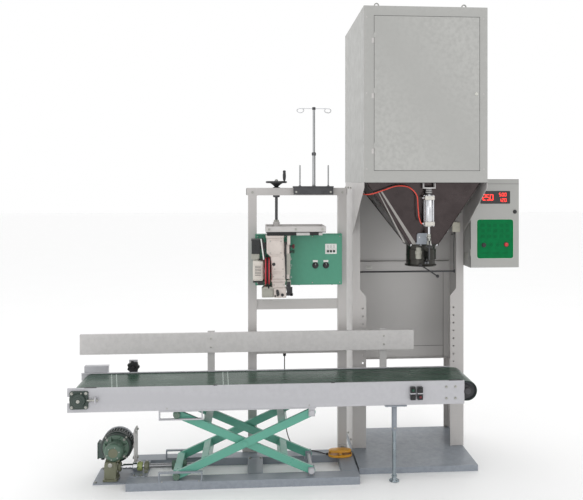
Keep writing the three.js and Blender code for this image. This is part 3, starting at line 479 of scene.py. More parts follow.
    def done(self, name, look, bevel=0.8, segments=2, smooth=32, body=None):
        """The piece made of all shapes since the last one, on the body named or the current one."""
        mesh = bpy.data.meshes.new(name)
        for v in self.bm.verts:
            v.co = v.co / 1000 + ORIGIN
        bmesh.ops.recalc_face_normals(self.bm, faces=self.bm.faces)
        self.bm.to_mesh(mesh)
        self.bm.free()
        self.bm = bmesh.new()
        return finish_piece(mesh, name, body or self.body, look, bevel,
                            segments, smooth)

    def skin(self, node, name, look, bevel=0.8, segments=2, smooth=32):
        """The same for a piece that stands for a CAD node and has its body."""
        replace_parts(self.done(name, look, bevel, segments, smooth, BODY[node]), node)


def finish_piece(mesh, name, body, look, bevel, segments, smooth):
    """Links a mesh as a piece: smooth faces, eased edges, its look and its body."""
    obj = bpy.data.objects.new(name, mesh)
    bpy.context.scene.collection.objects.link(obj)
    for polygon in mesh.polygons:
        polygon.use_smooth = True
    mesh.set_sharp_from_angle(angle=math.radians(smooth))
    if bevel:
        m = obj.modifiers.new("edges", "BEVEL")
        m.width = bevel / 1000
        m.segments = segments
        m.limit_method = "ANGLE"
        m.angle_limit = math.radians(max(smooth, 34))
        m.use_clamp_overlap = True
        m.harden_normals = False
        obj.modifiers.new("shade", "WEIGHTED_NORMAL").keep_sharp = True
    mesh.materials.append(LOOKS[look])
    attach(obj, body)
    return obj


def dressed(node, look, bevel):
    """A copy of a CAD node with eased edges and a real finish, which stands for the node."""
    bm = bmesh.new()
    bm.from_mesh(frame["nodes"][node].data)
    bmesh.ops.remove_doubles(bm, verts=bm.verts, dist=2e-6)
    bmesh.ops.dissolve_limit(bm, angle_limit=math.radians(0.6), verts=bm.verts, edges=bm.edges)
    bmesh.ops.connect_verts_concave(bm, faces=bm.faces[:])
    mesh = bpy.data.meshes.new(node + "_skin")
    bm.to_mesh(mesh)
    bm.free()
    obj = finish_piece(mesh, node + "_skin", BODY[node], look, bevel, 2, 32)
    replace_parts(obj, node)


b = Build()


# ------------------------------------------------------------------ camera, light and floor

def camera():
    data = bpy.data.cameras.new("camera")
    data.sensor_width = 36.0
    data.lens = 43.2
    data.shift_x = -0.029
    data.shift_y = -0.115
    data.clip_end = 100
    obj = bpy.data.objects.new("camera", data)
    bpy.context.scene.collection.objects.link(obj)
    obj.location = at(0, -4415, 1912)
    obj.rotation_euler = (math.radians(90), 0, math.radians(-4.2))
    bpy.context.scene.camera = obj


def area_light(name, place, target, size, power, color=(1, 1, 1)):
    data = bpy.data.lights.new(name, "AREA")
    data.size = size
    data.energy = power
    data.color = color
    obj = bpy.data.objects.new(name, data)
    bpy.context.scene.collection.objects.link(obj)
    obj.location = place
    obj.rotation_euler = (Vector(target) - Vector(place)).to_track_quat("-Z", "Y").to_euler()


def studio():
    """White world, three soft lights and a pale floor."""
    scene = bpy.context.scene
    scene.view_settings.view_transform = "Standard"
    world = bpy.data.worlds.new("studio")
    world.use_nodes = True
    world.node_tree.nodes["Background"].inputs["Color"].default_value = (1, 1, 1, 1)
    world.node_tree.nodes["Background"].inputs["Strength"].default_value = 1.0
    scene.world = world
    area_light("key", (4.0, -9.0, 4.0), (0.0, 0, 1.3), 2.5, 45)
    area_light("fill", (-4.0, -7.0, 1.4), (0.3, 0, 1.0), 3.0, 30)
    area_light("top", (0, 1.2, 7.5), (0, 1.2, 0), 5.0, 60)
    floor_mesh = bpy.data.meshes.new("floor")
    s = 40
    floor_mesh.from_pydata([(-s, -s, 0), (s, -s, 0), (s, s, 0), (-s, s, 0)], [], [(0, 1, 2, 3)])
    g = Graph("floor_pale")
    g.wire(g.mix(g.noise(1.5), (0.96, 0.96, 0.96, 1), (0.98, 0.98, 0.98, 1)),
           g.shader.inputs["Base Color"])
    g.set(Roughness=0.5)
    floor_mesh.materials.append(g.material)
    floor = bpy.data.objects.new("floor", floor_mesh)
    scene.collection.objects.link(floor)


camera()
studio()


# ------------------------------------------------------------------ cords

def round_line(name, node, points, diameter, look):
    """A cord through bench points, as a curve that stands for the CAD's one."""
    data = bpy.data.curves.new(name, "CURVE")
    data.dimensions = "3D"
    data.bevel_depth = diameter / 2000
    data.bevel_resolution = 4
    data.use_fill_caps = True
    smooth = centripetal([Vector(p) for p in points], 8)
    spline = data.splines.new("POLY")
    spline.points.add(len(smooth) - 1)
    for point, place in zip(spline.points, smooth):
        point.co = (*at(*place), 1)
    data.materials.append(LOOKS[look])
    obj = bpy.data.objects.new(name, data)
    bpy.context.scene.collection.objects.link(obj)
    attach(obj, "structure")
    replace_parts(obj, node)


def centripetal(points, per_span):
    """Points along the centripetal Catmull-Rom curve through the given ones."""
    first = points[0] * 2 - points[1]
    last = points[-1] * 2 - points[-2]
    p = [first, *points, last]
    out = []
    for i in range(1, len(p) - 2):
        knots = [0.0]
        for a, b in zip(p[i - 1:i + 2], p[i:i + 3]):
            knots.append(knots[-1] + max((b - a).length, 1e-4) ** 0.5)
        t0, t1, t2, t3 = knots
        for k in range(per_span):
            t = t1 + (t2 - t1) * k / per_span
            a1 = p[i - 1].lerp(p[i], (t - t0) / (t1 - t0))
            a2 = p[i].lerp(p[i + 1], (t - t1) / (t2 - t1))
            a3 = p[i + 1].lerp(p[i + 2], (t - t2) / (t3 - t2))
            b1 = a1.lerp(a2, (t - t0) / (t2 - t0))
            b2 = a2.lerp(a3, (t - t1) / (t3 - t1))
            out.append(b1.lerp(b2, (t - t1) / (t2 - t1)))
    out.append(points[-1])
    return out


PEDAL_ROUTE = [(483, 345, 60), (466, 347, 60), (440, 385, 56), (400, 418, 54.5), (330, 436, 54.5),
               (280, 446, 60), (243, 455, 92), (218, 463, 140), (200, 468, 225), (193, 475, 380),
               (192, 481, 560), (192, 482, 700), (192, 482, 723.5)]
HOSE_ROUTE = [(1065, -2, 1652), (1050, -2, 1652.5), (1035, 0, 1690), (1028, 0, 1760),
              (1018, -2, 1835), (968, -4, 1884), (893, -2, 1893), (792, 4, 1861), (731, 12, 1842),
              (700, 30, 1838), (688, 60, 1840), (686, 110, 1844)]


round_line("pedal_lead", "pedal_cable", PEDAL_ROUTE, 7, "cable")
round_line("air_line", "air_hose", HOSE_ROUTE, 8, "hose_red")

# ------------------------------------------------------------------ CAD nodes with eased edges

for row in (
    ("lift_base_frame", "base", 1.6),
    ("lift_top_frame", "beam", 1.2),
    ("conveyor_beam_rear", "beam", 0.9),
    ("belt_bed", "base", 0.6),
    ("guide_rail", "rail", 0.9),
    ("portal_frame", "frame", 2.2),
    ("height_screw", "dark", 0.4),
    ("head_carriage", "frame", 0.9),
    ("control_box", "box", 1.4),
    ("needle_bar", "chrome", 0.3),
    ("bagger_base_plate", "base", 1.2),
    ("left_side_frame", "frame", 0.9),
    ("right_side_frame", "frame", 0.9),
    # rear panel in the lighter copy of the frame paint: painted light
    ("rear_panel", "panel", 0.8),
    # cabinet shell in the darker copy of the frame paint: painted shade
    ("cabinet_shell", "cabinet", 1.2),
    ("weigh_hopper", "hopper", 0.8),
    ("panel_cabinet", "cabinet", 1.2),
):
    dressed(*row)

# ------------------------------------------------------------------ sewing station

def head_casting():
    """The stepped casting of the sewing head, its covers, screws and openings filled black as
    painted shade.
    """
    b.body = "carriage"
    b.prism((63, 178, 237, 369, 1441), (62, 178, 236, 370, 1548))
    b.prism((90, 183, 238, 369, 1418), (63, 178, 237, 369, 1446))
    b.prism((94, 188, 239, 369, 1310), (90, 183, 238, 369, 1424))
    b.prism((95, 188, 240, 369, 1264), (94, 188, 239, 369, 1318))
    b.prism((102, 187, 245, 364, 1208), (97, 188, 241, 368, 1262))
    b.prism((113, 195, 238, 368, 1147), (111, 193, 238, 368, 1214))
    b.skin("sewing_head_casting", "head_casting", "head", 7.0, 4, 50)
    b.plate("z", 58, 180, 231, 371, 10, 1546, 1561)
    b.plate("z", 92, 191, 236, 366, 8, 1255, 1268)
    b.box(181, 216, 261, 350, 1270, 1500)
    b.box(176, 214, 270, 345, 1432, 1510)
    b.done("head_flanges", "head", 2.5, 3)
    b.plate("y", 80, 166, 1440, 1532, 12, 231.5, 238)
    b.slab("y", [*arc(166, 1414, 10, 0, 90, 5), *arc(106, 1414, 10, 90, 180, 5),
                 *arc(110, 1334, 10, 180, 270, 5), *arc(170, 1334, 10, 270, 360, 5)], 233.5, 240)
    b.plate("y", 103, 180, 1276, 1306, 5, 235.5, 241)
    b.plate("y", 108, 180, 1218, 1250, 6, 238.5, 247)
    b.done("head_covers", "head", 1.6, 3)
    for x, z, y in ((88, 1448, 231.5), (158, 1448, 231.5), (88, 1524, 231.5), (158, 1524, 231.5),
                    (170, 1406, 233.5), (172, 1340, 233.5), (118, 1340, 233.5),
                    (109, 1291, 235.5), (174, 1291, 235.5), (114, 1234, 238.5), (174, 1234, 238.5)):
        b.lathe("y", [(0, y), (3.6, y), (4.2, y - 1.0), (2.6, y - 2.4), (0, y - 2.7)], x, z, 20)
        b.box(x - 3, x + 3, y - 2.9, y - 2.0, z - 0.5, z + 0.5)
    b.done("head_screws", "zinc", 0)
    # Black fills in the head's openings: painted shade.
    b.tube("y", 8, 11, 236, 231.5, 111, 1372, 32)
    b.tube("y", 0, 8.4, 236, 232.4, 111, 1372, 32)
    b.slab("y", [(131, 1160), (142, 1158), (150, 1172), (142, 1200), (130, 1204), (126, 1192)], 230,
           239)
    b.rod("y", 10, 224, 239, 168, 1168, 32, 2)
    b.rod("y", 5, 219, 226, 168, 1168, 20, 1)
    b.box(116, 126, 232, 239, 1156, 1166)
    b.done("head_opening_shade", "black", 0.5)


def head_motor():
    """The head's motor housing with its slotted end plate and shaft boss."""
    b.body = "carriage"
    b.plate("x", 248, 352, 1257, 1396, 18, -28, 40, 8)
    b.plate("x", 256, 344, 1266, 1388, 16, 38, 46, 8)
    b.skin("head_motor", "head_motor_case", "headmotor", 4.0, 4)
    b.plate("y", -20, 32, 1284, 1370, 6, 245.5, 249)
    b.box(-21, 33, 246, 252, 1262, 1267)
    b.done("head_motor_plate", "headmotor", 1.2, 3)
    # Black fills in the vent slots and under the housing: painted shade.
    for i in range(7):
        b.plate("y", -14, 26, 1297 + 10 * i, 1300.4 + 10 * i, 1.6, 244.9, 246, 3)
    b.box(-27, 44, 246, 352, 1250, 1258)
    b.box(6, 44, 262, 330, 1232, 1252)
    b.done("head_motor_vent_shade", "black", 0.4)
    b.rod("x", 22, 38, 50, 284, 1322, 40, 1.5)
    b.rod("x", 10, 44, 52, 284, 1322, 24)
    b.done("head_motor_boss", "steel", 0.4)


def capacitor():
    """The dark switch box on its collar, strap and bracket, left of the head."""
    b.body = "carriage"
    b.plate("z", -37, 22, 250, 340, 8, 1440, 1534)
    b.plate("z", -39, 24, 248, 342, 8, 1524, 1538)
    for i in range(6):
        b.box(-34 + 10 * i, -30 + 10 * i, 248.6, 251, 1448, 1518)
    b.box(22, 59, 272, 318, 1472, 1512)
    b.skin("capacitor_box", "switch_box_body", "black", 1.6, 3)
    b.plate("z", -40, 18, 256, 330, 10, 1404, 1440)
    b.plate("z", -26, 10, 262, 322, 8, 1396, 1406)
    b.done("switch_box_collar", "looper", 2.0, 3)
    b.slab("y", [(22, 1540), (30, 1540), (49, 1402), (40, 1402)], 243, 246)
    b.done("switch_box_strap", "white", 0.8)
    b.slab("y", [(31, 1546), (40, 1546), (60, 1404), (50, 1402)], 243, 248)
    b.box(12, 62, 244, 258, 1398, 1408)
    b.done("switch_box_bracket", "rubber", 1.0)


def pulley():
    """The red drive pulley, its hub and the round belt behind it."""
    b.body = "pulley"
    y, z = 284, 1322
    b.lathe("x", [(0, 56), (24, 56), (27, 60), (66, 62), (72, 52), (92, 51.5), (96.5, 54), (97, 58),
                  (86, 64), (85, 68), (86, 72), (97, 77), (96.5, 82), (92, 84.5), (74, 84),
                  (68, 76), (30, 76), (26, 84), (0, 84)], y, z, 96)
    b.skin("head_pulley", "drive_pulley", "pulley", 0.6)
    b.rod("x", 9, 50, 92, y, z, 32, 1)
    b.bolt("x", y, z, 50.5, -1, 15)
    for py, pz in arc(y, z, 46, 0, 288, 4):
        b.rod("x", 11, 58, 61.2, py, pz, 28)
    b.done("drive_pulley_hub", "dark", 0.3)
    loop = [(68, *p) for p in arc(y, z, 88, -20, 200, 22)]
    loop += [(72, y - 60, 1258), (78, y - 30, 1208), (78, y - 22, 1192), (78, y - 8, 1182),
             (78, y + 10, 1182), (78, y + 24, 1192), (78, y + 32, 1208), (74, y + 64, 1258)]
    b.sweep(loop, 5.5, 10, closed=True)
    b.done("drive_belt", "rubber", 0, body="carriage")


def side_mechanism():
    """Thread tension, needle bar housing, presser foot and thread eyes."""
    b.body = "carriage"
    for z, r in ((1484, 20), (1449, 15)):
        b.lathe("x", [(0, 216), (r, 216), (r, 218), (r - 3, 220), (r, 222), (r, 224), (6, 225),
                      (6, 228), (0, 228)], 300, z, 40)
    for z in (1484, 1449):
        for i in range(5):
            b.tube("x", 7.5, 9.5, 228 + 2.6 * i, 229.2 + 2.6 * i, 300, z, 24)
    b.skin("thread_tension_unit", "tension_discs", "dark", 0)
    for name, z, r, look in (("tension_knob_upper", 1484, 14, "knob_red"),
                             ("tension_knob_lower", 1449, 10, "knob_green")):
        b.rod("x", 3, 226, 246, 300, z, 16)
        outline = [(300 + (r + 1.2 * (-1) ** k) * math.cos(math.pi * k / 12),
                    z + (r + 1.2 * (-1) ** k) * math.sin(math.pi * k / 12)) for k in range(24)]
        b.slab("x", outline, 238, 252)
        b.done(name, look, 0.5)
    # Black boxes filling the gap between the head and the needle bar housing: painted shade.
    b.box(182, 197, 252, 262, 1270, 1432)
    b.box(184, 196, 254, 266, 1432, 1520)
    b.done("mechanism_gap_shade", "black", 0.5)
    b.plate("z", 200, 222, 246, 268, 4, 1500, 1560)
    b.done("mechanism_bar", "head", 1.0)
    b.box(196, 224, 256, 330, 1392, 1420)
    b.box(200, 228, 262, 320, 1336, 1344)
    b.box(186, 222, 258, 262, 1300, 1440)
    b.box(198, 226, 268, 322, 1186, 1262)
    b.rod("z", 12, 1262, 1330, 210, 300, 28, 1)
    b.rod("z", 7, 1330, 1418, 210, 300, 24)
    b.done("needle_bar_housing", "looper", 1.4, 3)
    b.box(196, 240, 258, 300, 1158, 1172)
    b.slab("x", [(258, 1156), (300, 1156), (304, 1164), (296, 1176), (268, 1216), (258, 1216)], 222,
           236)
    b.box(200, 222, 266, 296, 1172, 1250)
    b.rod("z", 5, 1172, 1318, 204, 280, 20)
    b.rod("y", 5, 254, 262, 229, 1196, 20, 1)
    b.rod("y", 4, 254, 262, 210, 1222, 20, 1)
    b.skin("presser_foot", "presser_assembly", "blackpaint", 1.0)
    for z in (1404, 1360, 1282):
        b.sweep([(px, 262, pz) for px, pz in arc(226, z, 6, -150, 150, 20)], 1.3, 8)
        b.sweep([(196, 262, z), (221, 262, z)], 1.3, 8)
    b.done("thread_eyes", "steel", 0)


def looper():
    """The looper case under the head and its lid."""
    b.body = "carriage"
    b.slab("y", [(32, 1149), (112, 1149), (112, 1210), (103, 1211), (103, 1221), (48, 1221),
                 (31, 1206)], 248, 344)
    b.skin("looper_cover", "looper_case", "looper", 4.0, 4)
    b.plate("y", 42, 104, 1156, 1203, 6, 245.5, 249)
    b.done("looper_lid", "looper", 1.0)
    for x, z in ((48, 1162), (98, 1162), (48, 1197), (98, 1197)):
        b.lathe("y", [(0, 246), (3.4, 246), (3.4, 244.6), (2.2, 243.2), (0, 243)], x, z, 20)
    b.done("looper_screws", "zinc", 0)


def carriage_trim():
    """The pads, bolts and nut of the carriage that carries the head."""
    b.body = "carriage"
    for left, right in ((66, 262), (352, 411)):
        b.box(left, right, 243, 376, 1562, 1583)
    b.box(58, 459, 238.6, 240, 1581, 1586)
    b.done("carriage_pad", "rubber", 1.2)
    for x in (100, 200, 330, 420):
        b.bolt("z", x, 262, 1589, 1, 13)
    for x in (80, 258, 436):
        b.bolt("y", x, 1603, 240, -1, 11)
    b.lathe("z", [(0, 1640), (18, 1640), (18, 1652), (12, 1656), (0, 1656)], 135, 482, 6)
    b.done("carriage_bolts", "zinc", 0.3)


def control_box_trim():
    """Lid, plates, dials, selector switches and glands of the green box."""
    b.body = "carriage"
    y = 385
    b.plate("y", -6, 579, 1217, 1555, 5, y - 2.2, y - 0.2)
    b.box(-12, 585, y - 10, y, 1558, 1561.5)
    b.done("control_lid", "box", 0.8)
    for x in (4, 190, 380, 569):
        for z in (1227, 1545):
            b.lathe("y", [(0, y - 2), (4.4, y - 2), (4.4, y - 3.2), (2.8, y - 4.6), (0, y - 4.9)],
                    x, z, 20)
    b.done("control_screws", "zinc", 0)
    for x in (400, 473):
        b.plate("y", x - 17, x + 17, 1367, 1381, 2, y - 3.4, y - 2, 3)
    b.plate("y", 468, 548, 1423, 1493, 4, y - 4.2, y - 2)
    b.done("control_plates", "white", 0.3)
    for x in (487, 508, 529):
        b.lathe("y", [(0, y - 4), (8, y - 4), (8, y - 6), (6.4, y - 7), (6.4, y - 14),
                      (5.6, y - 15), (0, y - 15)], x, 1442, 28)
        b.box(x - 1, x + 1, y - 15.6, y - 13, 1442, 1449)
    for x in (400, 473):
        b.tube("y", 18, 22, y - 2, y - 4.2, x, 1345)
    b.done("control_dials", "black", 0.3)
    for x in (487, 508, 529):
        b.plate("y", x - 1.6, x + 1.6, 1464, 1484, 1, y - 5, y - 4, 3)
    b.done("control_scales", "grey_plastic", 0.2)
    for x, body, node in ((400, "selector_a", "selector_left"),
                          (473, "selector_b", "selector_right")):
        b.lathe("y", [(0, y - 1), (19, y - 2), (19, y - 8), (16.5, y - 11), (15, y - 12),
                      (0, y - 12)], x, 1345, 48)
        b.plate("y", x - 5.5, x + 5.5, 1327, 1363, 5, y - 27, y - 10, 5)
        b.skin(node, node + "_knob", "black", 1.2, 3)
        b.box(x - 0.9, x + 0.9, y - 27.5, y - 26, 1350, 1361)
        b.done(node + "_mark", "white", 0.2, body=body)
    for x in (60, 290, 520):
        b.tube("z", 9, 13, 1206, 1211.5, x, 436, 6)
        b.lathe("z", [(0, 1203.5), (8, 1203.5), (10, 1206), (10, 1211), (0, 1211)], x, 436, 24)
    b.done("control_glands", "black", 0.4)


def hand_wheel():
    """The handwheel with its crank handle, nut, screw thread and collars."""
    b.body = "hand_wheel"
    x, y, z, r = 135, 482, 1918, 75
    ring = [(r - 7 + 7 * math.cos(t), z + 7.5 * math.sin(t))
            for t in (2 * math.pi * k / 20 for k in range(20))]
    b.lathe("z", ring, x, y, 96)
    for angle in (90, 210, 330):
        turn = Matrix.Translation((x, y, z)) @ Matrix.Rotation(math.radians(angle), 4, "Z")
        b.slab("z", [(8, -9), (40, -6), (r - 8, -5), (r - 8, 5), (40, 6), (8, 9)], -3.5, 3.5, turn)
    b.lathe("z", [(6.5, z - 34), (13, z - 34), (15, z - 31), (26, z - 20), (47, z - 6), (49, z - 3),
                  (47, z), (16, z + 2), (14, z + 9), (6.5, z + 10)], x, y, 56)
    b.lathe("z", [(0, z + 4), (6, z + 4), (6, z + 12), (8.5, z + 14), (11, z + 30), (11.4, z + 48),
                  (9.6, z + 66), (10.6, z + 74), (8.6, z + 80), (4, z + 82), (0, z + 82)], x + 54,
            y - 40, 32)
    b.skin("handwheel", "crank_wheel", "blackpaint", 0.8, 3, 40)
    b.lathe("z", [(0, z + 8), (11, z + 9), (11, z + 17), (5, z + 18), (5, z + 21), (0, z + 21)], x,
            y, 6)
    b.done("crank_wheel_nut", "zinc", 0.4)
    for i in range(103):
        h = 1566 + 2.5 * i
        b.lathe("z", [(9.0, h), (10.0, h + 0.7), (10.0, h + 1.2), (9.0, h + 1.9)], x, y, 24)
    b.done("height_threads", "dark", 0)
    b.lathe("z", [(10.6, 1878.3), (26, 1878.3), (26, 1881), (17, 1883), (17, 1884), (10.6, 1884)],
            x, y, 40)
    b.lathe("z", [(10.6, 1825.6), (24, 1825.6), (24, 1816), (20, 1812), (10.6, 1812)], x, y, 40)
    b.done("screw_collars", "dark", 0.4, body="structure")


def thread_stand():
    """The tray, the telescopic post, two spool pins and two thread eyes."""
    b.body = "structure"
    top, post = 1878, (397, 470)
    b.plate("z", 249, 529, 398, 502, 8, top + 0.5, top + 4)
    b.box(251, 527, 398, 401, top - 46, top + 3)
    b.box(249, 529, 397.5, 399, top + 2, top + 12)
    b.box(249, 251, 398, 502, top + 2, top + 12)
    b.box(527, 529, 398, 502, top + 2, top + 12)
    b.skin("thread_stand", "spool_tray", "dark", 0.7)
    b.rod("z", 11, top + 3, 2120, *post, 32, 1)
    b.rod("z", 8.5, 2118, 2438, *post, 32, 1)
    b.rod("y", 3, 452, 470, 397, 2114, 16)
    for x in (298, 496):
        b.lathe("z", [(0, top + 13), (5, top + 13), (5, 2032), (3, 2037), (0, 2037)], x, 450, 32)
    b.done("thread_post", "steel", 0.3)
    b.lathe("z", [(11, 2104), (15, 2106), (15, 2122), (12, 2126), (8.5, 2126), (8.5, 2104)], *post,
            32)
    b.lathe("z", [(8.5, 2424), (12, 2425), (12, 2440), (9, 2443), (0, 2443), (0, 2424)], *post, 32)
    b.lathe("z", [(11, top + 3), (24, top + 3), (24, top + 6), (14, top + 10), (13, top + 16),
                  (11, top + 16)], *post, 40)
    for x in (298, 496):
        b.lathe("z", [(5, top + 3), (27, top + 3), (29, top + 6), (27, top + 10), (9, top + 13),
                      (5, top + 18)], x, 450, 32)
    b.done("thread_collars", "dark", 0.3)
    for s in (-1, 1):
        arm = [(*post, 2433), (397 + s * 40, 470, 2433.5), (397 + s * 80, 470, 2433.5)]
        curl = [(397 + s * (96 + 23 * math.sin(math.radians(a))), 470 - 0.06 * a,
                 2418 + 15.5 * math.cos(math.radians(a))) for a in range(0, 331, 15)]
        b.sweep(centripetal([Vector(p) for p in arm], 4)[:-1] + [Vector(p) for p in curl], 3.2, 12)
    b.done("thread_arms", "chrome", 0)


def portal_trim():
    """Bolts, weld seams, end caps and the cable gland of the portal."""
    b.body = "structure"
    for x in (-40, 20, 544, 604):
        b.bolt("z", x, 540, 10, 1, 16)
    for x in (-32, 596):
        b.bolt("y", x, 1846, 452, -1, 12)
    for x in (270, 508):
        b.bolt("y", x, 1850, 398, -1, 10)
    b.done("portal_bolts", "zinc", 0.3)
    for z0, z1 in ((1033, 1097), (724, 784), (1826, 1878)):
        for x, s in ((-2, 1), (566, -1)):
            b.sweep([(x + s * 1.5, 455, z0 + 2), (x + s * 1.5, 455, z1 - 2)], 2.2, 8)
    for x, s in ((-2, 1), (566, -1)):
        for z in (724, 784, 1033, 1097, 1826):
            b.sweep([(x + s * 0.8, 458, z), (x + s * 0.8, 506, z)], 2.4, 8)
    b.done("portal_welds", "frame", 0)
    b.plate("x", 455, 509, 1829, 1875, 6, 627, 630)
    b.plate("x", 455, 509, 1829, 1875, 6, -75, -72)
    b.done("portal_caps", "black", 0.8)
    b.lathe("z", [(4, 700), (11, 703), (11, 716), (13, 718), (13, 723.6), (4, 723.6)], 192, 482, 24)
    b.done("pedal_gland", "black", 0.5)


# ------------------------------------------------------------------ scissor lift

ROLLER_X, PIVOT_X = -502, 346
LOW_Z, HIGH_Z = 80, 458
CROSS = ((ROLLER_X + PIVOT_X) / 2, (LOW_Z + HIGH_Z) / 2)
SLOPE = math.degrees(math.atan2(HIGH_Z - LOW_Z, PIVOT_X - ROLLER_X))
DRIVE_LINE = (180, LOW_Z)
MOTOR_AXIS = (-915, 190)


def on_bar(side, tilt):
    """A frame on a scissor pair's centre line, either side of the crossing."""
    return (Matrix.Translation((CROSS[0], 0, CROSS[1]))
            @ Matrix.Rotation(math.radians(-tilt), 4, "Y") @ Matrix.Translation((265 * side, 0, 0)))


def scissor_pair(node, body, spans, ends, tilt, tube_y):
    """Two parallel arms, the square tubes between them and the weld seams."""
    (x0, z0), (x1, z1) = ends
    for y0, y1 in spans:
        b.slab("y", [*arc(x1, z1, 25, tilt - 90, tilt + 90, 18),
                     *arc(x0, z0, 25, tilt + 90, tilt + 270, 18)], y0, y1)
    b.skin(node, node + "_bars", "arms", 2.0, 3)
    for side in (-1, 1):
        b.box(-25, 25, *tube_y, -25, 25, on_bar(side, tilt))
    b.done(node + "_ties", "arms", 4.0, 3, body=body)
    for side in (-1, 1):
        for y in (tube_y[0] + 2.5, tube_y[1] - 2.5):
            corners = [(-24, y, -24), (0, y, -25), (24, y, -24), (25, y, 0), (24, y, 24),
                       (0, y, 25), (-24, y, 24), (-25, y, 0)]
            b.sweep([on_bar(side, tilt) @ Vector(c) for c in corners], 2.8, 8, closed=True)
    b.done(node + "_welds", "arms", 0, body=body)


def headed_pin(name, node, x, z, y0, y1, heads):
    """A pivot pin with a hexagon head, a nut and washers outside its bracket."""
    b.rod("y", 11.8, y0, y1, x, z, 40, 1.5)
    for face, out in heads:
        b.rod("y", 21, face, face + 1.4 * out, x, z, 40, 0.3)
        b.hexagon("y", x, z, 18, 12 * out, face + 1.4 * out, face + 10 * out)
    b.skin(node, name, "beam", 0.7)


def roller(x, z, y0, y1):
    """A flanged roller with a groove at its middle."""
    m = (y0 + y1) / 2
    b.lathe("y", [(12, y0), (17, y0), (17.5, y0 + 0.6), (20.8, y0 + 0.8), (21.4, y0 + 2),
                  (21.4, m - 1), (20.6, m), (21.4, m + 1), (21.4, y1 - 2), (20.8, y1 - 0.8),
                  (17.5, y1 - 0.6), (17, y1), (12, y1)], x, z, 64)


def lift_frame():
    """Both scissor pairs, their bolts, pins, rollers and the nut crossbar."""
    b.body = "inner_arms"
    scissor_pair("scissor_pair_a", "outer_arms", ((8, 30), (330, 352)),
                 ((ROLLER_X, LOW_Z), (PIVOT_X, HIGH_Z)), SLOPE, (28, 332))
    scissor_pair("scissor_pair_b", "inner_arms", ((33, 55), (305, 327)),
                 ((ROLLER_X, HIGH_Z), (PIVOT_X, LOW_Z)), -SLOPE, (53, 307))
    for y, out in ((7.9, -1), (352.1, 1)):
        b.rod("y", 21, y, y + 1.5 * out, *CROSS, 40, 0.3)
        b.hexagon("y", *CROSS, 16, 20, y + 1.5 * out, y + 6.6 * out)
    for y0, y1 in ((30.2, 32.8), (327.2, 329.8)):
        b.rod("y", 22, y0, y1, *CROSS, 40)
    b.done("crossing_bolts", "arms", 0.5)
    headed_pin("upper_pivot_pin", "upper_pivot_axle", PIVOT_X, HIGH_Z, -6, 366,
               ((-1.5, -1), (361.5, 1)))
    headed_pin("lower_pivot_pin", "lower_pivot_axle", PIVOT_X, LOW_Z, 18, 342,
               ((23.6, -1), (336.4, 1)))
    b.rod("y", 11.8, 6, 354, ROLLER_X, HIGH_Z, 40, 1)
    for y0, y1 in ((8, 25), (335, 352)):
        roller(ROLLER_X, HIGH_Z, y0, y1)
    for y in (6.4, 352.2):
        b.tube("y", 9, 16, y, y + 1.3, ROLLER_X, HIGH_Z, 32)
    b.skin("upper_roller_axle", "upper_rollers", "bell", 0)
    b.plate("y", -527, -477, 55, 105, 6, 31, 329)
    b.skin("nut_crossbar", "nut_crossbar_tube", "arms", 1.2, 3)
    for y0, y1, end in ((-13, 5, (-14.5, 33)), (355, 373, (327, 374.5))):
        roller(ROLLER_X, LOW_Z + 0.5, y0, y1)
        b.rod("y", 11.8, *end, ROLLER_X, LOW_Z, 40, 1)
    b.hexagon("x", *DRIVE_LINE, 33, 30, -549, -527)
    b.hexagon("x", *DRIVE_LINE, 33, 30, -477, -455)
    for x in (-549.5, -455):
        b.tube("x", 16.2, 24, x, x + 0.6, *DRIVE_LINE)
    b.done("nut_and_rollers", "bell", 0.6, body="nut_carriage")


def lift_fasteners():
    """The base frame's bolts and weld seams, and the portal's feet."""
    b.body = "structure"
    for y, out in ((23.8, -1), (336.2, 1)):
        for x in (333, 359):
            b.bolt("y", x, 54, y, out, 8, False)
    for x, y in ((-780, 100), (-735, 100), (-780, 330), (-735, 330), (-48, 330), (24, 330),
                 (566, 330), (638, 330), (-1022, 112), (-1022, 330)):
        b.bolt("z", x, y, 50 if x > -900 else 9, 1, 13)
    for x in (-590, -362):
        for y in (-14, 374):
            b.bolt("y", x, 54, y, -1 if y < 0 else 1, 8, False)
    b.done("base_bolts", "zinc", 0.3)
    b.plate("y", -102, 2, 50.6, 112, 6, 446, 451.6)
    b.plate("y", -64, 0, 50.4, 84, 3, 441, 446)
    b.plate("y", 566, 628, 50.4, 84, 3, 441, 451.6)
    b.done("portal_foot_plates", "frame", 0.8)
    for x, z in ((-34, 68), (-84, 92), (597, 68)):
        b.bolt("y", x, z, 446 if x == -84 else 441, -1, 14)
    b.done("portal_foot_bolts", "zinc", 0.3)
    for x0, x1 in ((-712, -711), (-62, -61), (38, 39), (552, 553)):
        for y in (85.5, 349.5):
            b.sweep([(x0, y, 3), (x0, y, 48)], 2.6, 8)
            b.sweep([(x0, y, 50), (x1 - 90 if x0 in (-712, 38) else x1 + 90, y, 50)], 2.2, 8)
    b.done("base_welds", "base", 0)


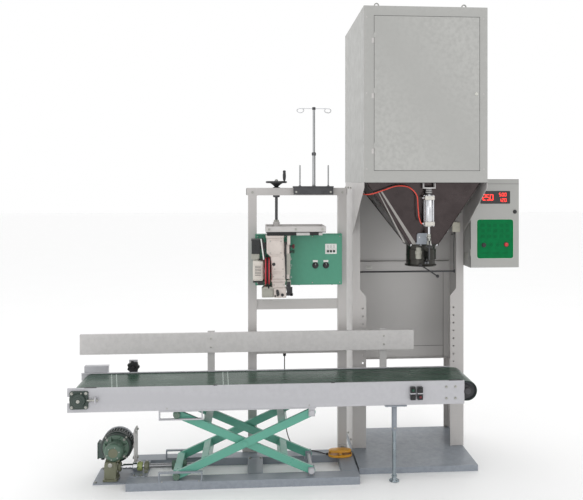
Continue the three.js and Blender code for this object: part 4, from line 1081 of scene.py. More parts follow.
def worm_drive():
    """Worm gearbox, input bell, output shaft and the lead screw's bearing."""
    b.body = "structure"
    x, z = MOTOR_AXIS
    b.hull([(px, py, pz) for pz, inset in ((22, 0), (128, 5)) for px in (-973 + inset, -896 - inset)
            for py in (124 + inset, 208 - inset)])
    b.plate("z", -981, -887, 116, 212, 10, 9.4, 22)
    side = ((118, 22), (118, 26), (126, 60), (208, 22), (202, 60))
    for fx in (-966, -903):
        b.hull([(px, *corner) for px in (fx - 4, fx + 4) for corner in side])
    b.lathe("x", [(0, -977), (34, -977), (38, -975), (50, -972), (52, -968), (52, -897), (50, -893),
                  (40, -891), (0, -891)], *DRIVE_LINE, 56)
    b.lathe("x", [(0, -893), (30, -893), (30, -876), (26, -873), (0, -873)], *DRIVE_LINE, 40)
    b.lathe("y", [(0, 118), (30, 118), (34, 121), (45, 123), (46, 128), (46, 200), (0, 200)], x,
            z - 4, 56)
    b.plate("z", -950, -880, 150, 200, 8, 124, 190)
    b.skin("worm_gearbox", "worm_case", "gear", 2.4, 3)
    b.lathe("y", [(30, 117), (44, 119), (52, 124), (58, 132), (59, 140), (59, 202), (70, 204),
                  (82, 206), (84, 208), (84, 215.4), (30, 215.4)], x, z, 72)
    for k in range(8):
        t = math.radians(45 * k + 22.5)
        turn = Matrix.Translation((x, 0, z)) @ Matrix.Rotation(-t, 4, "Y")
        b.hull([turn @ Vector(p) for p in ((56, 150, -3), (56, 150, 3), (80, 206, -3), (80, 206, 3),
                                           (56, 206, -3), (56, 206, 3))])
    b.done("input_bell", "bell", 1.4, 3)
    for shaft, cover in zip(arc(*DRIVE_LINE, 43, 15, 315, 5), arc(x, z - 4, 39, 15, 315, 5)):
        b.bolt("x", *shaft, -891, 1, 8, False)
        b.bolt("y", *cover, 121, -1, 8, False)
    for place in arc(x, z, 75, 45, 315, 3):
        b.bolt("y", *place, 206, -1, 12)
    for bx in (-972, -897):
        b.bolt("z", bx, 128, 22, 1, 12)
        b.bolt("z", bx, 204, 22, 1, 12)
    b.lathe("z", [(0, 188), (9, 188), (9, 194), (6, 197), (6, 203), (0, 204)], -915, 140, 24)
    b.lathe("y", [(0, 124), (14, 124), (14, 121), (10, 119.5), (0, 119.5)], -934, 112, 32)
    b.done("worm_case_bolts", "zinc", 0.3)
    b.rod("x", 11, -874, -838, *DRIVE_LINE, 32, 0.5)
    b.done("output_shaft", "chrome", 0.3)
    b.box(-722, -700, 140, 220, 50.4, 62)
    b.slab("x", [*arc(*DRIVE_LINE, 30, -20, 200, 24), (146, 58), (214, 58)], -722, -700)
    b.lathe("x", [(12, -727), (21, -727), (23, -724), (23, -698), (21, -695), (12, -695)],
            *DRIVE_LINE, 48)
    b.skin("screw_bearing_block", "screw_bearing", "gear", 1.4, 3)
    for y in (148, 212):
        b.bolt("z", -711, y, 62, 1, 11)
    b.rod("z", 4, 108, 116, -711, 180, 16, 1)
    b.done("screw_bearing_bolts", "zinc", 0.3)


def drive_shaft():
    """The lead screw with its thread, and the coupling."""
    b.body = "drive_screw"
    profile = [(0, -776), (11, -776), (11, -700), (15, -697)]
    pitch = 5
    for i in range(73):
        h = -696 + pitch * i
        profile += [(15, h), (15, h + 1.8), (12.8, h + 2.6), (12.8, h + 4.4)]
    profile += [(15, -330.6), (0, -330.6)]
    b.lathe("x", profile, *DRIVE_LINE, 32)
    b.skin("lead_screw", "thread_of_the_lift", "steel", 0)
    b.lathe("x", [(11.4, -862), (15.5, -862), (17, -860), (17, -800), (26, -798), (28, -795),
                  (28, -771), (26, -769), (11.4, -769)], *DRIVE_LINE, 56)
    b.rod("x", 12.8, -737, -727, *DRIVE_LINE, 40, 0.6)
    b.skin("shaft_coupling", "coupling_hub", "chrome", 0.4)
    for k in range(6):
        a = 60 * k
        b.slab("x", [*arc(*DRIVE_LINE, 27, a, a + 46, 8), *arc(*DRIVE_LINE, 14, a + 46, a, 8)],
               -769, -760.4)
    b.lathe("x", [(11.6, -760.5), (27, -760.5), (28, -759), (28, -741), (26, -738), (11.6, -738)],
            *DRIVE_LINE, 56)
    b.done("coupling_ring", "coupling", 0.5)
    for x in (-840, -815):
        b.rod("y", 3.2, 160.5, 164, x, 80, 6)
    b.rod("z", 3.6, 107, 108.4, -750, 180, 6)
    b.done("coupling_screws", "dark", 0)


def lift_motor():
    """The ribbed motor, fan cowl, terminal box and foot plate."""
    b.body = "structure"
    x, z = MOTOR_AXIS
    ribs = []
    for a in range(0, 360, 10):
        ribs += [*arc(x, z, 103.4, a, a + 3.4, 1), *arc(x, z, 93, a + 4.4, a + 9, 2)]
    b.slab("y", ribs, 240, 300)
    b.lathe("y", [(0, 215.6), (84, 215.6), (92, 217), (98, 222), (100, 228), (100, 239), (97, 241),
                  (0, 241)], x, z, 80)
    b.box(x - 26, x + 26, 240, 306, z - 111, z - 84)
    b.skin("lift_motor", "motor_body", "motor", 0.9)
    b.lathe("y", [(0, 300), (101, 300), (103.6, 302), (103.6, 321), (99, 327), (88, 329.6),
                  (0, 329.6)], x, z, 80)
    b.done("fan_cowl", "gate", 0)
    b.plate("y", -1038, -984, 113, 211, 7, 240, 302)
    b.plate("x", 236, 306, 108, 216, 8, -1039, -1031)
    b.box(-986, -975, 248, 294, 128, 196)
    b.done("terminal_box", "motorbox", 1.6, 3)
    for y, tz in ((243, 115), (299, 115), (243, 209), (299, 209)):
        b.bolt("x", y, tz, -1037.6, 1, 6, False)
    for place in arc(x, z, 92, 45, 315, 3):
        b.bolt("y", *place, 219, -1, 9)
    b.done("motor_bolts", "zinc", 0.2)
    b.lathe("z", [(5, 96), (12, 96), (12, 104), (9, 108), (9, 113), (5, 113)], -1010, 270, 24)
    # Black slats in the fan cowl's openings: painted shade.
    for k in range(-6, 7):
        half = math.sqrt(82 ** 2 - (12 * k) ** 2) if abs(12 * k) < 82 else 0
        if half > 10:
            b.box(x - half, x + half, 329, 330, z + 12 * k - 2.4, z + 12 * k + 2.4)
    b.done("fan_cowl_opening_shade", "black", 0.3)
    b.plate("x", 220, 324, 50.6, 298, 16, -802, -792, 8)
    for tz in (110, 190, 266):
        b.box(-812, -800, 236, 308, tz - 5, tz + 5)
    b.plate("z", -806, -762, 220, 324, 6, 50.6, 58)
    b.done("motor_foot_plate", "frame", 1.4, 3)
    for y in (238, 306):
        for tz in (92, 278):
            b.bolt("x", y, tz, -792, 1, 13)
        b.bolt("z", -776, y, 58, 1, 11)
    b.done("motor_foot_bolts", "zinc", 0.3)


# ------------------------------------------------------------------ conveyor

def conveyor_frame():
    """The front beam with its wipers, bolts and button stations."""
    b.body = "conveyor"
    b.slab("y", [(-1169, 492), (1331, 492), (1331, 642), (-1169, 642), (-1169, 591), (-1040, 591),
                 (-1040, 551), (-1169, 551)], 0, 4)
    b.box(-1169, 1331, 4, 14, 638, 642)
    b.box(-1169, 1331, 4, 40, 492, 496)
    b.skin("conveyor_beam_front", "front_beam", "beam", 1.3, 3)
    for x, z in ((1213, 530), (1272, 530), (1213, 603), (1272, 603)):
        b.bolt("y", x, z, 0, -1, 12)
    for x in (-560, 330):
        b.bolt("y", x, 506, 0, -1, 8, False)
    b.done("front_beam_bolts", "zinc", 0.3)
    for x0, x1 in ((-1066, -992), (-272, -250), (470, 492), (1232, 1322)):
        b.plate("y", x0, x1, 634, 646.2, 2, 1, 12.8, 3)
    b.done("belt_wipers", "black", 0.6)
    for x, lit in ((992, 592), (1038, 548)):
        b.plate("y", x - 17, x + 17, 529, 611, 4, -23, -0.2)
        for z in (548, 592):
            b.lathe("y", [(11, -22.8), (16, -22.8), (16, -26.2), (15, -26.8), (11.6, -26.8)], x, z,
                    40)
            if z != lit:
                b.lathe("y", [(0, -22), (10, -22), (10, -28), (8.6, -29), (0, -29)], x, z, 32)
    b.done("button_stations", "black", 0.8, 3)
    for x in (992, 1038):
        b.plate("y", x - 17.4, x + 17.4, 566.5, 573.5, 1, -23.6, -0.2, 2)
    b.done("button_station_bars", "beam", 0.4)
    for node, x, z, look_name in (("start_button", 992, 592, "knob_green"),
                                  ("stop_button", 1038, 548, "knob_red")):
        b.lathe("y", [(0, -14.8), (8.4, -14.8), (8.5, -28), (7.9, -30), (6.6, -31), (0, -30.4)], x,
                z, 40)
        b.skin(node, node + "_cap", look_name, 0)


def belt_and_drums():
    """The belt loop, both drums, the take-up bearings and the head bearing."""
    b.body = "conveyor"
    head, tail, r = (1354, 571), (-1096, 571), 59.7
    outlines = [[*arc(*head, r + grow, -90, 90, 36), *arc(*tail, r + grow, 90, 270, 36)]
                for grow in (4.3, 0.5)]
    b.hoop("y", *outlines, 13.2, 346.8)
    b.skin("conveyor_belt", "belt_loop", "belt", 0.5, 2, 40)
    for near, far in ((-900, -970), (-869, -938), (-211, -231), (-180, -199)):
        b.slab("z", [(near - 2.6, 14), (near + 2.6, 14), (far + 2.6, 346), (far - 2.6, 346)], 635,
               635.5)
    b.done("belt_joint", "belt_joint", 0)
    for name, node, (x, z), ends in (("head_drum_shell", "head_drum", head, (-2, 362)),
                                     ("tail_drum_shell", "tail_drum", tail, (-36, 396))):
        b.lathe("y", [(0, ends[0]), (11.5, ends[0]), (12.5, ends[0] + 1), (12.5, 19), (22, 19),
                      (24, 24), (52, 24), (54, 18.6), (58.5, 18.6), (59.5, 20), (59.6, 180),
                      (59.5, 340), (58.5, 341.4), (54, 341.4), (52, 336), (24, 336), (22, 341),
                      (12.5, 341), (12.5, ends[1] - 1), (11.5, ends[1]), (0, ends[1])], x, z, 96)
        b.skin(node, name, "drum", 0)
    x, z = tail
    for s, face in ((-1, -0.4), (1, 360.6)):
        b.plate("y", x - 56, x + 56, z - 56, z + 56, 12, face, face + s * 12)
        b.lathe("y", [(r, face + s * d) for r, d in ((13, 1), (44, 1), (44, 12), (40, 27), (34, 31),
                                                     (27, 32), (26, 36), (22, 37.4), (13, 37.4))],
                x, z, 64)
    b.skin("take_up_bearing_front", "flange_bearings", "bearing", 1.4, 3)
    for s, face in ((-1, -12.4), (1, 372.6)):
        for dx in (-43, 43):
            for dz in (-43, 43):
                b.bolt("y", x + dx, z + dz, face, s, 13)
        b.lathe("y", [(0, face + s * 22), (11, face + s * 22), (11, face + s * 25),
                      (0, face + s * 25.4)], x, z, 40)
        b.rod("x", 5, x + 50, -990, face + s * 3.5, z, 24)
        for nx in (-1034, -1006, -988):
            b.slab("x", arc(face + s * 3.5, z, 9.5, 8, 308, 5), nx, nx + 8)
    b.rod("z", 4, z + 40, z + 50, x + 16, -20, 16, 1)
    b.done("take_up_bolts", "zinc", 0.3)
    for y0, y1 in ((-30, -0.4), (360.6, 390)):
        b.box(-999, -990, y0, y1, z - 19, z + 19)
    b.done("take_up_lugs", "beam", 0.8)
    x, z = head
    b.slab("y", [(1200, 500), (1300, 500), *arc(x, z, 34, -60, 60, 24), (1300, 633), (1200, 633)],
           4.4, 12.4)
    b.lathe("y", [(13, -4), (24, -4), (26, -2), (26, 6), (13, 6)], x, z, 56)
    b.skin("drum_bracket_front", "drum_side_plate", "blackpaint", 1.0)
    b.lathe("y", [(12.6, -4.4), (19, -4.4), (20, -3), (20, 0), (12.6, 0)], x, z, 48)
    b.rod("y", 12.8, -5.6, 0, x, z, 40, 0.8)
    b.done("drum_bearing_ring", "dark", 0.3)


def conveyor_fittings():
    """Tail cover, star knob, rail bolts and the support leg."""
    b.body = "conveyor"
    b.plate("x", 362, 398, 600, 684, 3, -1149, -996)
    b.box(-1152, -993, 360.4, 400, 680, 685)
    b.box(-1152, -1149, 360.4, 400, 598, 685)
    b.done("tail_cover", "beam", 1.2, 3)
    lo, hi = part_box("rail_clamp_knob")
    x, z, r = -834, 668, (hi.x - lo.x) * 500
    y0, y1 = (lo.y - ORIGIN.y) * 1000, (hi.y - ORIGIN.y) * 1000
    lobes, steps = 7, 84
    outline = [(x + (r - 4 + 3.6 * math.cos(lobes * t)) * math.cos(t),
                z + (r - 4 + 3.6 * math.cos(lobes * t)) * math.sin(t))
               for t in (2 * math.pi * k / steps for k in range(steps))]
    grip = max(y0, y1 - 26)
    b.slab("y", outline, grip, y1 - 6)
    b.lathe("y", [(0, y0), (8.8, y0), (8.8, grip), (17, grip), (17, y1 - 6), (13, y1 - 1),
                  (0, y1 - 0.5)], x, z, 40)
    b.skin("rail_clamp_knob", "star_knob", "black", 2.2, 3, 45)
    for x in (-310, 868):
        for z in (540, 610):
            b.bolt("y", x, z, 372, 1, 13)
        for z in (806, 864):
            b.lathe("y", [(0, 334.9), (6.4, 334.9), (6, 332.8), (4, 331.8), (0, 331.4)], x, z, 24)
    for z in (600, 706):
        b.bolt("y", -848, z, 358, -1, 8, False)
    b.done("rail_bolts", "zinc", 0.2)
    x, y = 878, 22
    b.plate("z", 814, 956, -8, 52, 5, 485, 491.6)
    b.lathe("z", [(12.9, 323), (16.4, 323), (17, 324), (17, 485), (12.9, 485)], x, y, 56)
    b.lathe("z", [(16, 474), (24, 483), (24, 486), (12.9, 486), (12.9, 474)], x, y, 48)
    b.skin("leg_sleeve", "leg_tube", "base", 0.6)
    b.bolt("y", x, 345, y - 17, -1, 10, False)
    for bx in (828, 942):
        for by in (4, 42):
            b.rod("z", 5, 481, 485, bx, by, 6)
    b.done("leg_screws", "zinc", 0.2)
    b.lathe("z", [(0, 0), (29, 0), (32, 1.5), (32, 5), (30, 8), (21, 14), (14, 21), (12.5, 26),
                  (12.5, 483), (11, 484), (0, 484)], x, y, 64)
    b.hexagon("z", x, y, 19, 10, 30, 40)
    b.skin("leg_foot", "levelling_foot", "leg", 0.5)
    for x in (-760, -220, 360, 1010):
        b.bolt("y", x, 512, 360, 1, 11)
    b.done("rear_beam_bolts", "zinc", 0.2)


# ------------------------------------------------------------------ filler

def cabinet_trim():
    """The weighing cabinet's door, its dark seal that also paints the shade in the door gap,
    hinges, lock and eyebolts.
    """
    b.body = "structure"
    x0, x1, z0, z1 = 737.2, 1419.8, 1989.2, 2971.8
    outer = [(x0, z0), (x1, z0), (x1, z1), (x0, z1)]
    inner = [(x0 + 1.4, z0 + 1.4), (x1 - 1.4, z0 + 1.4), (x1 - 1.4, z1 - 1.4), (x0 + 1.4, z1 - 1.4)]
    # A black seal in the door gap keeps the gap dark: partly a real seal, partly painted shade.
    b.hoop("y", outer, inner, -37, -20)
    b.done("door_gap_seal_shade", "rubber", 0)
    b.plate("y", 739.2, 1417.8, 1991.2, 2969.8, 2, -38.6, -18.2, 3)
    b.skin("cabinet_door", "door_skin", "cabinet", 1.6, 3)
    for z in (2130, 2480, 2830):
        b.rod("z", 2.4, z - 32, z - 1, 735.2, -37.4, 20, 0.5)
        b.box(722, 735.2, -38.9, -37.9, z - 32, z - 1)
    for z in (2000, 2480, 2960):
        for x in (690, 1446):
            b.lathe("y", [(0, -37.9), (4.4, -37.9), (4.4, -38.6), (3, -39.6), (0, -39.8)], x, z, 20)
    b.done("door_hinges_fixed", "frame", 0.2)
    for z in (2130, 2480, 2830):
        b.rod("z", 2.4, z + 1, z + 32, 735.2, -37.4, 20, 0.5)
        b.box(735.2, 752, -39.7, -38.5, z + 1, z + 32)
    b.done("door_hinges_moving", "cabinet", 0.2, body="big_door")
    b.lathe("y", [(0, -38), (12, -38), (12, -38.9), (10.5, -39.5), (0, -39.5)], 1398, 2480, 40)
    b.box(1396.4, 1399.6, -39.9, -39.3, 2474, 2486)
    b.done("door_lock", "zinc", 0.2, body="big_door")
    for x in (766, 1339):
        b.lathe("z", [(0, 3033.2), (17, 3033.2), (17, 3035.5), (12, 3037), (10, 3041), (0, 3042)],
                x, 40, 32)
        b.sweep([(px, 40, pz) for px, pz in arc(x, 3053, 13.4, 0, 350, 35)], 3.4, 12, closed=True)
    b.done("eyebolt_rings", "zinc", 0)
    b.box(674, 1468, -37, 896, 1911.6, 1914.6)
    b.done("cabinet_floor_seam", "rubber", 0)


def frame_trim():
    """Bag stop, painted shade along the panel folds, cable box, screws and weld seams of the side
    frames.
    """
    b.body = "structure"
    b.rod("x", 6, 722, 1410, 500, 1281, 24, 1)
    for x in (722, 1404):
        b.rod("x", 13, x, x + 6, 500, 1281, 32, 0.6)
    b.done("bag_stop_bar", "dark", 0)
    # Dark strips along the rear panel's folds: painted shade.
    b.box(676.5, 1465.5, 842, 846.2, 1237, 1243)
    b.box(676.5, 1465.5, 843, 846.2, 1318, 1320.5)
    b.box(1418, 1420.5, 844.6, 846.2, 584, 1236)
    b.box(1190, 1418, 844.6, 846.2, 670, 672.5)
    b.done("panel_fold_shade", "shade_line_grey", 0)
    b.plate("y", 822, 872, 1262, 1282, 5, 838, 842)
    b.sweep([(836, 842, 1272), (836, 826, 1272), (858, 826, 1272), (858, 842, 1272)], 3, 10)
    b.done("panel_handle", "white", 0.4)
    b.plate("y", 1385, 1441, 1563, 1634, 5, 466, 484)
    b.done("cable_box", "cream", 1.2, 3)
    b.rod("z", 6, 1544, 1563, 1400, 475, 24, 1)
    b.rod("x", 5, 1376, 1392, 475, 1548, 20, 1)
    b.sweep([(1400, 475, 1548), (1398, 478, 1480), (1398, 480, 1380), (1400, 481, 1290)], 3, 8)
    b.done("cable_box_gland", "black", 0.3)
    for x in (690, 1452):
        for z in (1700, 1780, 1860):
            b.lathe("y", [(0, 484), (5, 484), (5, 483), (3.4, 481.6), (0, 481.2)], x, z, 20)
    for x, y in ((700, 500), (700, 860), (1442, 500), (1442, 860)):
        b.bolt("z", x, y, 40, 1, 15)
    for x, out in ((672, -1), (1470, 1)):
        for y in (560, 700, 840):
            for z in (76, 1878):
                b.bolt("x", y, z, x, out, 13)
    for x in (700, 1070, 1440):
        for z in (606, 1880):
            b.lathe("y", [(0, 849), (6, 849), (6, 850.4), (4, 852.4), (0, 852.8)], x, z, 20)
    b.done("frame_screws", "zinc", 0.3)
    for x in (676.5, 1465.5):
        b.sweep([(x, 490, 41), (x, 870, 41)], 2.6, 8)
    b.done("frame_welds", "base", 0)


def hopper_trim():
    """Straps, corner seams, gate cover and valve on the hopper's front."""
    b.body = "structure"
    def front(z):
        return 24 + (1911 - z) / 391 * 56

    for (x_top, z_top, w_top), (x_low, z_low, w_low) in (((786, 1864, 12), (1010, 1512, 27)),
                                                         ((776, 1850, 6), (950, 1524, 12))):
        b.hull([(x + dx, front(z) - 0.4 + dy, z) for x, z, w in ((x_top, z_top, w_top),
                                                                 (x_low, z_low, w_low))
                for dx in (0, w) for dy in (0, -4)])
    b.done("hopper_straps", "strap", 0.8)
    for low, top in (((986, 80), (702, 24)), ((1186, 80), (1440, 24)), ((986, 280), (702, 450)),
                     ((1186, 280), (1440, 450))):
        b.sweep([(*low, 1520), (*top, 1910)], 3.2, 8)
    b.done("hopper_seams", "hopper", 0)
    b.slab("y", [*arc(1096, 1572, 14, 0, 90, 6), *arc(1050, 1572, 14, 90, 180, 6), (1036, 1522),
                 (1110, 1522)], 60, 78)
    b.box(1030, 1118, 58, 80, 1514, 1524)
    b.done("gate_cover", "gate", 1.6, 3)
    for x in (1050, 1096):
        b.bolt("y", x, 1560, 60, -1, 9, False)
    for x in (1000, 1064, 1132, 1172):
        b.bolt("y", x, 1509, 80, -1, 9, False)
        b.bolt("z", x, 92, 1504, -1, 9, False)
    b.done("gate_bolts", "chrome", 0.2)
    b.lathe("z", [(0, 1420), (17, 1420), (19, 1424), (19, 1448), (22, 1452), (22, 1468), (17, 1474),
                  (17, 1488), (12, 1494), (0, 1496)], 1046, 64, 48)
    b.rod("y", 9, 64, 88, 1046, 1460, 24)
    b.done("clamp_valve", "looper", 0.8, body="jaw")


def spout():
    """The bag spout with its rim and bead, and the lugs of the clamp jaw."""
    b.body = "structure"
    x, y, r, rim, z0 = 1086, 180, 95, 104, 1365
    b.lathe("z", [(91.2, z0), (rim - 1.5, z0), (rim, z0 + 1.5), (rim, z0 + 7), (rim - 1, z0 + 8.5),
                  (r + 1, z0 + 11), (r, z0 + 13), (r, 1430), (r + 1.4, 1432), (r + 1.4, 1438),
                  (r, 1440), (r, 1504), (91.2, 1504)], x, y, 112)
    b.lathe("z", [(rim - 0.6, z0 - 0.2), (rim + 0.2, z0 + 1), (rim + 0.2, z0 + 7),
                  (rim - 0.6, z0 + 8)], x, y, 112)
    top = rounded(986, 1186, 80, 280, 6)
    turns = [math.atan2(q - y, p - x) for p, q in top]
    hole = [(x + 91.2 * math.cos(t), y + 91.2 * math.sin(t)) for t in turns]
    b.hoop("z", top, hole, 1504, 1513.4)
    b.skin("bag_spout", "spout_shell", "gun", 0.4, 2, 40)
    for s in (-1, 1):
        px = 1098 + 9 * s
        b.slab("x", [*arc(60, 1395, 9, 100, 260, 12), (90, 1384), (90, 1406)], px - 3, px + 3)
    b.done("jaw_lugs", "spout", 0.6)


def bag_clamp():
    """The cylinder on its hanger, the rod, the clevis, the jaw and the gate lever."""
    b.body = "structure"
    x, y = 1098, -2
    b.lathe("z", [(9, 1660), (27, 1660), (28, 1662), (28, 1808), (27, 1810), (9, 1810)], x, y, 72)
    b.skin("clamp_cylinder", "cylinder_barrel", "chrome", 0)
    for z0, z1 in ((1640, 1664), (1804, 1829)):
        b.plate("z", x - 32, x + 32, y - 32, y + 32, 7, z0, z1)
    b.lathe("z", [(9.2, 1632), (15, 1632), (16, 1634), (16, 1641), (9.2, 1641)], x, y, 40)
    b.done("cylinder_caps", "alu", 1.4, 3)
    for dx in (-24, 24):
        for dy in (-24, 24):
            b.rod("z", 3.4, 1662, 1806, x + dx, y + dy, 20)
            b.hexagon("z", x + dx, y + dy, 6.4, 0, 1829, 1834)
            b.hexagon("z", x + dx, y + dy, 6.4, 0, 1635, 1640)
    b.lathe("z", [(0, 1829), (17, 1829), (17, 1835), (12, 1837), (12, 1841), (0, 1841)], x, y, 6)
    b.done("cylinder_tie_rods", "chrome", 0.3)
    for z in (1652, 1816):
        b.lathe("x", [(0, x - 32.5), (8, x - 32.5), (8, x - 37), (6, x - 38.5), (0, x - 38.5)], y,
                z, 6)
        b.rod("x", 5.6, x - 44, x - 37, y, z, 24, 1)
    b.done("cylinder_fittings", "chrome", 0.3)
    for z0, z1, rr in ((1841, 1847, 24), (1853, 1859, 22), (1865, 1871, 24)):
        b.hexagon("z", x, y, rr, 5, z0, z1)
    b.rod("z", 10, 1841, 1880, x, y, 32)
    b.done("hanger_nuts", "blackpaint", 0.8)
    for z0, z1 in ((1847, 1853), (1859, 1865), (1871, 1876)):
        b.tube("z", 10.4, 20, z0, z1, x, y)
    b.box(x - 40, x + 40, y - 16, y + 16, 1876, 1884)
    b.box(x - 40, x - 34, y - 16, y + 16, 1884, 1914.4)
    b.box(x + 34, x + 40, y - 16, y + 16, 1884, 1914.4)
    b.done("hanger_bracket", "rail", 1.0)
    b.rod("z", 7.8, 1560, 1770, x, y, 40, 0.8)
    b.skin("cylinder_rod", "ram_rod", "chrome", 0)
    b.hexagon("z", x, y, 14, 0, 1571, 1584)
    b.lathe("z", [(0, 1556), (13, 1556), (13, 1568), (10, 1571), (0, 1571)], x, y, 40)
    for s in (-1, 1):
        b.slab("x", [(y - 12, 1558), (y - 12, 1518), *arc(y, 1520, 12, 200, 340, 10),
                     (y + 12, 1558)], x + 8.5 * s - 3.4, x + 8.5 * s + 3.4)
    b.box(x - 12, x + 12, y - 12, y + 12, 1543, 1558)
    b.rod("x", 5, x - 15, x + 15, y, 1524, 24, 0.6)
    b.done("ram_clevis", "zinc", 0.8, body="ram")
    cx, cy, band = 1086, 180, 95
    b.slab("z", [*arc(cx, cy, band + 7, 200, 340, 48), *arc(cx, cy, band + 1.2, 340, 200, 48)],
           1412, 1475)
    for z in (1412, 1475):
        b.slab("z", [*arc(cx, cy, band + 9, 202, 338, 48), *arc(cx, cy, band + 3, 338, 202, 48)],
               z - 2.4, z + 2.4)
    b.skin("clamp_jaw", "jaw_band", "gun", 0.6, 2, 40)
    b.slab("x", [*arc(60, 1395, 10, 90, 300, 14), (83, 1389), (83, 1425), (52, 1425)], x - 4.4,
           x + 4.4)
    b.slab("x", [(y - 11, 1420), (cy - band - 3, 1420), (cy - band - 3, 1470), (y + 11, 1470),
                 *arc(y, 1528, 10, 0, 180, 12)], x - 4.4, x + 4.4)
    b.rod("x", 4, x - 15, x + 15, 60, 1395, 24, 0.5)
    b.lathe("z", [(0, 1500), (22, 1500), (23, 1502), (23, 1506), (0, 1508)], x, y, 40)
    b.done("jaw_lever", "dark", 0.6, body="jaw")
    b.sweep([(1062, 72, 1376), (1092, 66, 1358), (1128, 64, 1334), (1168, 64, 1308)], 4.4, 14)
    b.lathe("z", [(0, -11), (5, -10), (9.6, -5), (11, 0), (9.6, 5), (5, 10), (0, 11)], 0, 0, 32,
            Matrix.Translation((1172, 64, 1305)))
    b.box(1050, 1068, 66, 84, 1366, 1384)
    b.done("gate_lever", "black", 0.6)


# ------------------------------------------------------------------ control panel

def segments(x, z, high, lit, y0, y1):
    """One seven-segment numeral: lit names its bars, a at the top and on clockwise, g across."""
    w, h, t = high * 0.5, high / 2, high * 0.055
    places = {"a": (x, z + h, "h"), "g": (x, z, "h"), "d": (x, z - h, "h"),
              "f": (x - w / 2, z + h / 2, "v"), "b": (x + w / 2, z + h / 2, "v"),
              "e": (x - w / 2, z - h / 2, "v"), "c": (x + w / 2, z - h / 2, "v")}
    for key in lit:
        px, pz, way = places[key]
        if way == "h":
            b.slab("y", [(px - w / 2 + t, pz - t), (px + w / 2 - t, pz - t), (px + w / 2, pz),
                         (px + w / 2 - t, pz + t), (px - w / 2 + t, pz + t), (px - w / 2, pz)], y0,
                   y1)
        else:
            b.slab("y", [(px - t, pz - h / 2 + t), (px, pz - h / 2), (px + t, pz - h / 2 + t),
                         (px + t, pz + h / 2 - t), (px, pz + h / 2), (px - t, pz + h / 2 - t)], y0,
                   y1)


NUMERALS = {"0": "abcdef", "1": "bc", "2": "abged", "5": "afgcd", "8": "abcdefg"}


def panel():
    """The control cabinet: door, display, membrane keys, switches, lock and glands."""
    b.body = "small_door"
    y = 338
    b.plate("y", 1477, 1819, 1326, 1936, 4, y, y + 2.2)
    for x0, x1, z0, z1 in ((1477.4, 1479.4, 1328, 1934), (1816.6, 1818.6, 1328, 1934),
                           (1479.5, 1816.5, 1326.4, 1328.4), (1479.5, 1816.5, 1933.6, 1935.6)):
        b.box(x0, x1, y + 2.2, y + 13.4, z0, z1)
    b.skin("panel_door", "panel_door_skin", "cabinet", 0.9, 3)
    b.plate("y", 1545, 1756, 1768, 1856, 6, y - 2.4, y - 0.1)
    b.done("display_frame", "black", 0.8, 3)
    b.plate("y", 1550, 1751, 1773, 1851, 3, y - 3.4, y - 2.3)
    b.done("display_window", "window", 0.3)
    for k, n in enumerate("250"):
        segments(1572 + 26 * k, 1812, 38, NUMERALS[n], y - 3.9, y - 3.3)
    for row, text in ((1831, "500"), (1793, "120")):
        for k, n in enumerate(text):
            segments(1684 + 19 * k, row, 22, NUMERALS[n], y - 3.9, y - 3.3)
    b.box(1609, 1613, y - 3.9, y - 3.3, 1792, 1796)
    b.done("display_numerals", "digits", 0)
    b.plate("y", 1519, 1781, 1386, 1661, 20, y - 1.0, y - 0.05, 10)
    b.done("membrane_edge", "white", 0)
    b.plate("y", 1521, 1779, 1388, 1659, 18, y - 2.0, y - 0.9, 10)
    b.done("membrane_sheet", "membrane", 0.3)
    for z in (1618, 1580, 1542):
        for k in range(5):
            x = 1562 + 44 * k
            b.plate("y", x - 14, x + 14, z - 11, z + 11, 4, y - 2.5, y - 1.9)
    for x in (1622, 1669):
        b.lathe("y", [(0, y - 1.9), (12, y - 1.9), (12, y - 3), (10.6, y - 3.6), (0, y - 3.6)], x,
                1482, 40)
    for x in (1580, 1650, 1720):
        b.plate("y", x - 22, x + 22, 1421, 1431, 3, y - 2.4, y - 1.9)
    b.done("membrane_keys", "membrane_dark", 0.2)
    b.lathe("y", [(0, y - 2), (16, y - 2), (16, y - 5), (13.4, y - 6), (12.6, y - 9.8),
                  (0, y - 9.9)], 1569, 1481, 48)
    b.plate("y", 1566.4, 1571.6, 1471, 1494, 2, y - 9.9, y - 9)
    b.tube("y", 14, 18, y - 1, y - 3.6, 1728, 1484, 48)
    b.done("panel_switch", "black", 0.4)
    b.lathe("y", [(0, y - 2), (14, y - 2), (14, y - 7), (12.6, y - 9), (8, y - 9.9), (0, y - 9.9)],
            1728, 1484, 48)
    b.done("panel_stop", "red_key", 0)
    b.lathe("y", [(0, y), (14, y), (14, y - 2.4), (12.4, y - 4.6), (0, y - 4.8)], 1790, 1712, 48)
    b.box(1787.8, 1792.2, y - 5.6, y - 4.4, 1703, 1721)
    b.done("panel_lock", "black", 0.4)
    outer, inner = rounded(1475.4, 1820.6, 1324.4, 1937.6, 2), rounded(1477, 1819, 1326, 1936, 2)
    b.hoop("y", outer, inner, 344, 351.6)
    b.done("panel_seal", "rubber", 0, body="structure")
    for z in (1430, 1830):
        b.rod("z", 1.9, z - 24, z + 24, 1475, 336, 20, 0.4)
    for z in (1400, 1860):
        b.box(1470.2, 1475, 400, 470, z - 20, z + 20)
    b.done("panel_hinges", "zinc", 0.3, body="structure")
    for x in (1560, 1640, 1720):
        b.lathe("z", [(7, 1308), (13, 1310), (15, 1316), (15, 1323.6), (7, 1323.6)], x, 502, 6)
        b.rod("z", 6, 1306, 1312, x, 502, 24)
    for k in range(8):
        b.box(1820.4, 1821, 390, 480, 1500 + 14 * k, 1506 + 14 * k)
    b.done("panel_glands", "black", 0.4, body="structure")
    # A dark line across the door for its crease: painted shade.
    b.plate("y", 1477, 1819, 1904.5, 1907, 1, y - 0.3, y + 0.4, 2)
    b.done("panel_crease_shade", "shade_line_grey", 0)


# ------------------------------------------------------------------ foot pedal

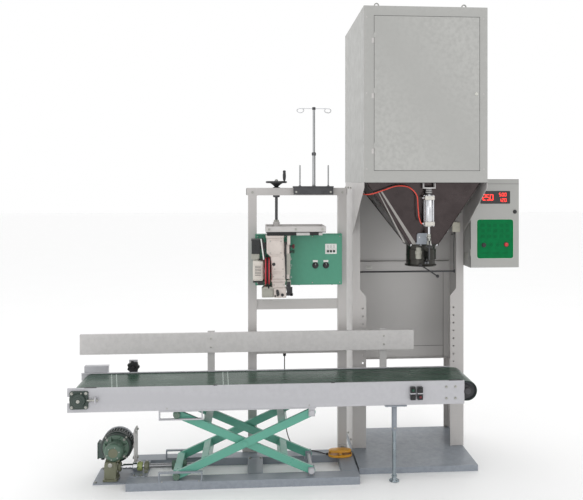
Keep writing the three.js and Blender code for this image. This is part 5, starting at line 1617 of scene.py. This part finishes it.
def superoval(x, y, a, b, n=72):
    """The pedal's outline: an oval with fuller corners."""
    points = []
    for k in range(n):
        t = 2 * math.pi * (k + 0.5) / n
        c, s = math.cos(t), math.sin(t)
        points.append((x + a * math.copysign(abs(c) ** 0.8, c),
                       y + b * math.copysign(abs(s) ** 0.8, s)))
    return points


def foot_pedal():
    """The cast base and treadle with ribs, the pin, screws and the cable gland."""
    b.body = "treadle"
    x, y, long, wide, z = 566, 345, 165, 112, 50.5
    outer = superoval(x, y, long / 2 - 0.6, wide / 2 - 0.6)
    b.slab("z", superoval(x, y, long / 2 - 8, wide / 2 - 8), z + 1, z + 5)
    b.hoop("z", outer, superoval(x, y, long / 2 - 7, wide / 2 - 7), z + 0.2, z + 15.6)
    for s in (-1, 1):
        b.slab("y", [(x - 12, z + 4), (x + 12, z + 4), *arc(x, z + 21, 9.5, 0, 180, 14)],
               y + s * 42 - 4, y + s * 42 + 4)
    b.skin("foot_pedal_base", "pedal_base", "pedal", 1.8, 3, 40)
    levels = ((26.4, 8), (28, 5), (34, 4.4), (37.5, 6), (40.5, 12), (42.6, 22), (43.6, 34))
    rings = [superoval(x, y, long / 2 - inset, wide / 2 - 14 - inset) for _, inset in levels]
    n = len(rings[0])
    verts = [(px, py, z + lift) for (lift, _), ring in zip(levels, rings) for px, py in ring]
    faces = [tuple(range(n)), tuple(range(len(verts) - 1, len(verts) - n - 1, -1))]
    for k in range(len(rings) - 1):
        faces += [(k * n + i, k * n + (i + 1) % n, (k + 1) * n + (i + 1) % n, (k + 1) * n + i)
                  for i in range(n)]
    b._add(verts, faces)
    b.box(x - 8, x + 8, y - 34, y + 34, z + 15, z + 28)
    b.skin("foot_pedal_treadle", "pedal_tread", "pedal", 0, 2, 50)
    for k in range(-5, 6):
        half = 19 - abs(k) * 0.8
        b.slab("z", rounded(x + 10.5 * k - 2.2, x + 10.5 * k + 2.2, y - half, y + half, 2, 4),
               z + 42.4, z + 44.2 - 0.3 * abs(k) ** 0.8)
    b.done("pedal_ribs", "pedal", 0.5)
    b.rod("y", 4, y - 47.4, y + 47.4, x, z + 21.3, 24, 0.6)
    b.done("pedal_pin", "zinc", 0)
    for s in (-1, 1):
        b.lathe("z", [(0, z + 5), (5, z + 5), (5, z + 7.4), (3, z + 8.4), (0, z + 8.6)], x + 62 * s,
                y, 20)
    b.done("pedal_screws", "zinc", 0, body="structure")
    b.lathe("x", [(4, x - 96), (7.4, x - 95), (8.6, x - 88), (8.6, x - 80), (4, x - 80)], y, 60, 28)
    b.done("pedal_lead_gland", "rubber", 0.4, body="structure")


for make in (head_casting, head_motor, capacitor, pulley, side_mechanism, looper, carriage_trim,
             control_box_trim, hand_wheel, thread_stand, portal_trim, lift_frame,
             lift_fasteners, worm_drive, drive_shaft, lift_motor, conveyor_frame,
             belt_and_drums, conveyor_fittings, cabinet_trim, frame_trim, hopper_trim, spout,
             bag_clamp, panel, foot_pedal):
    make()
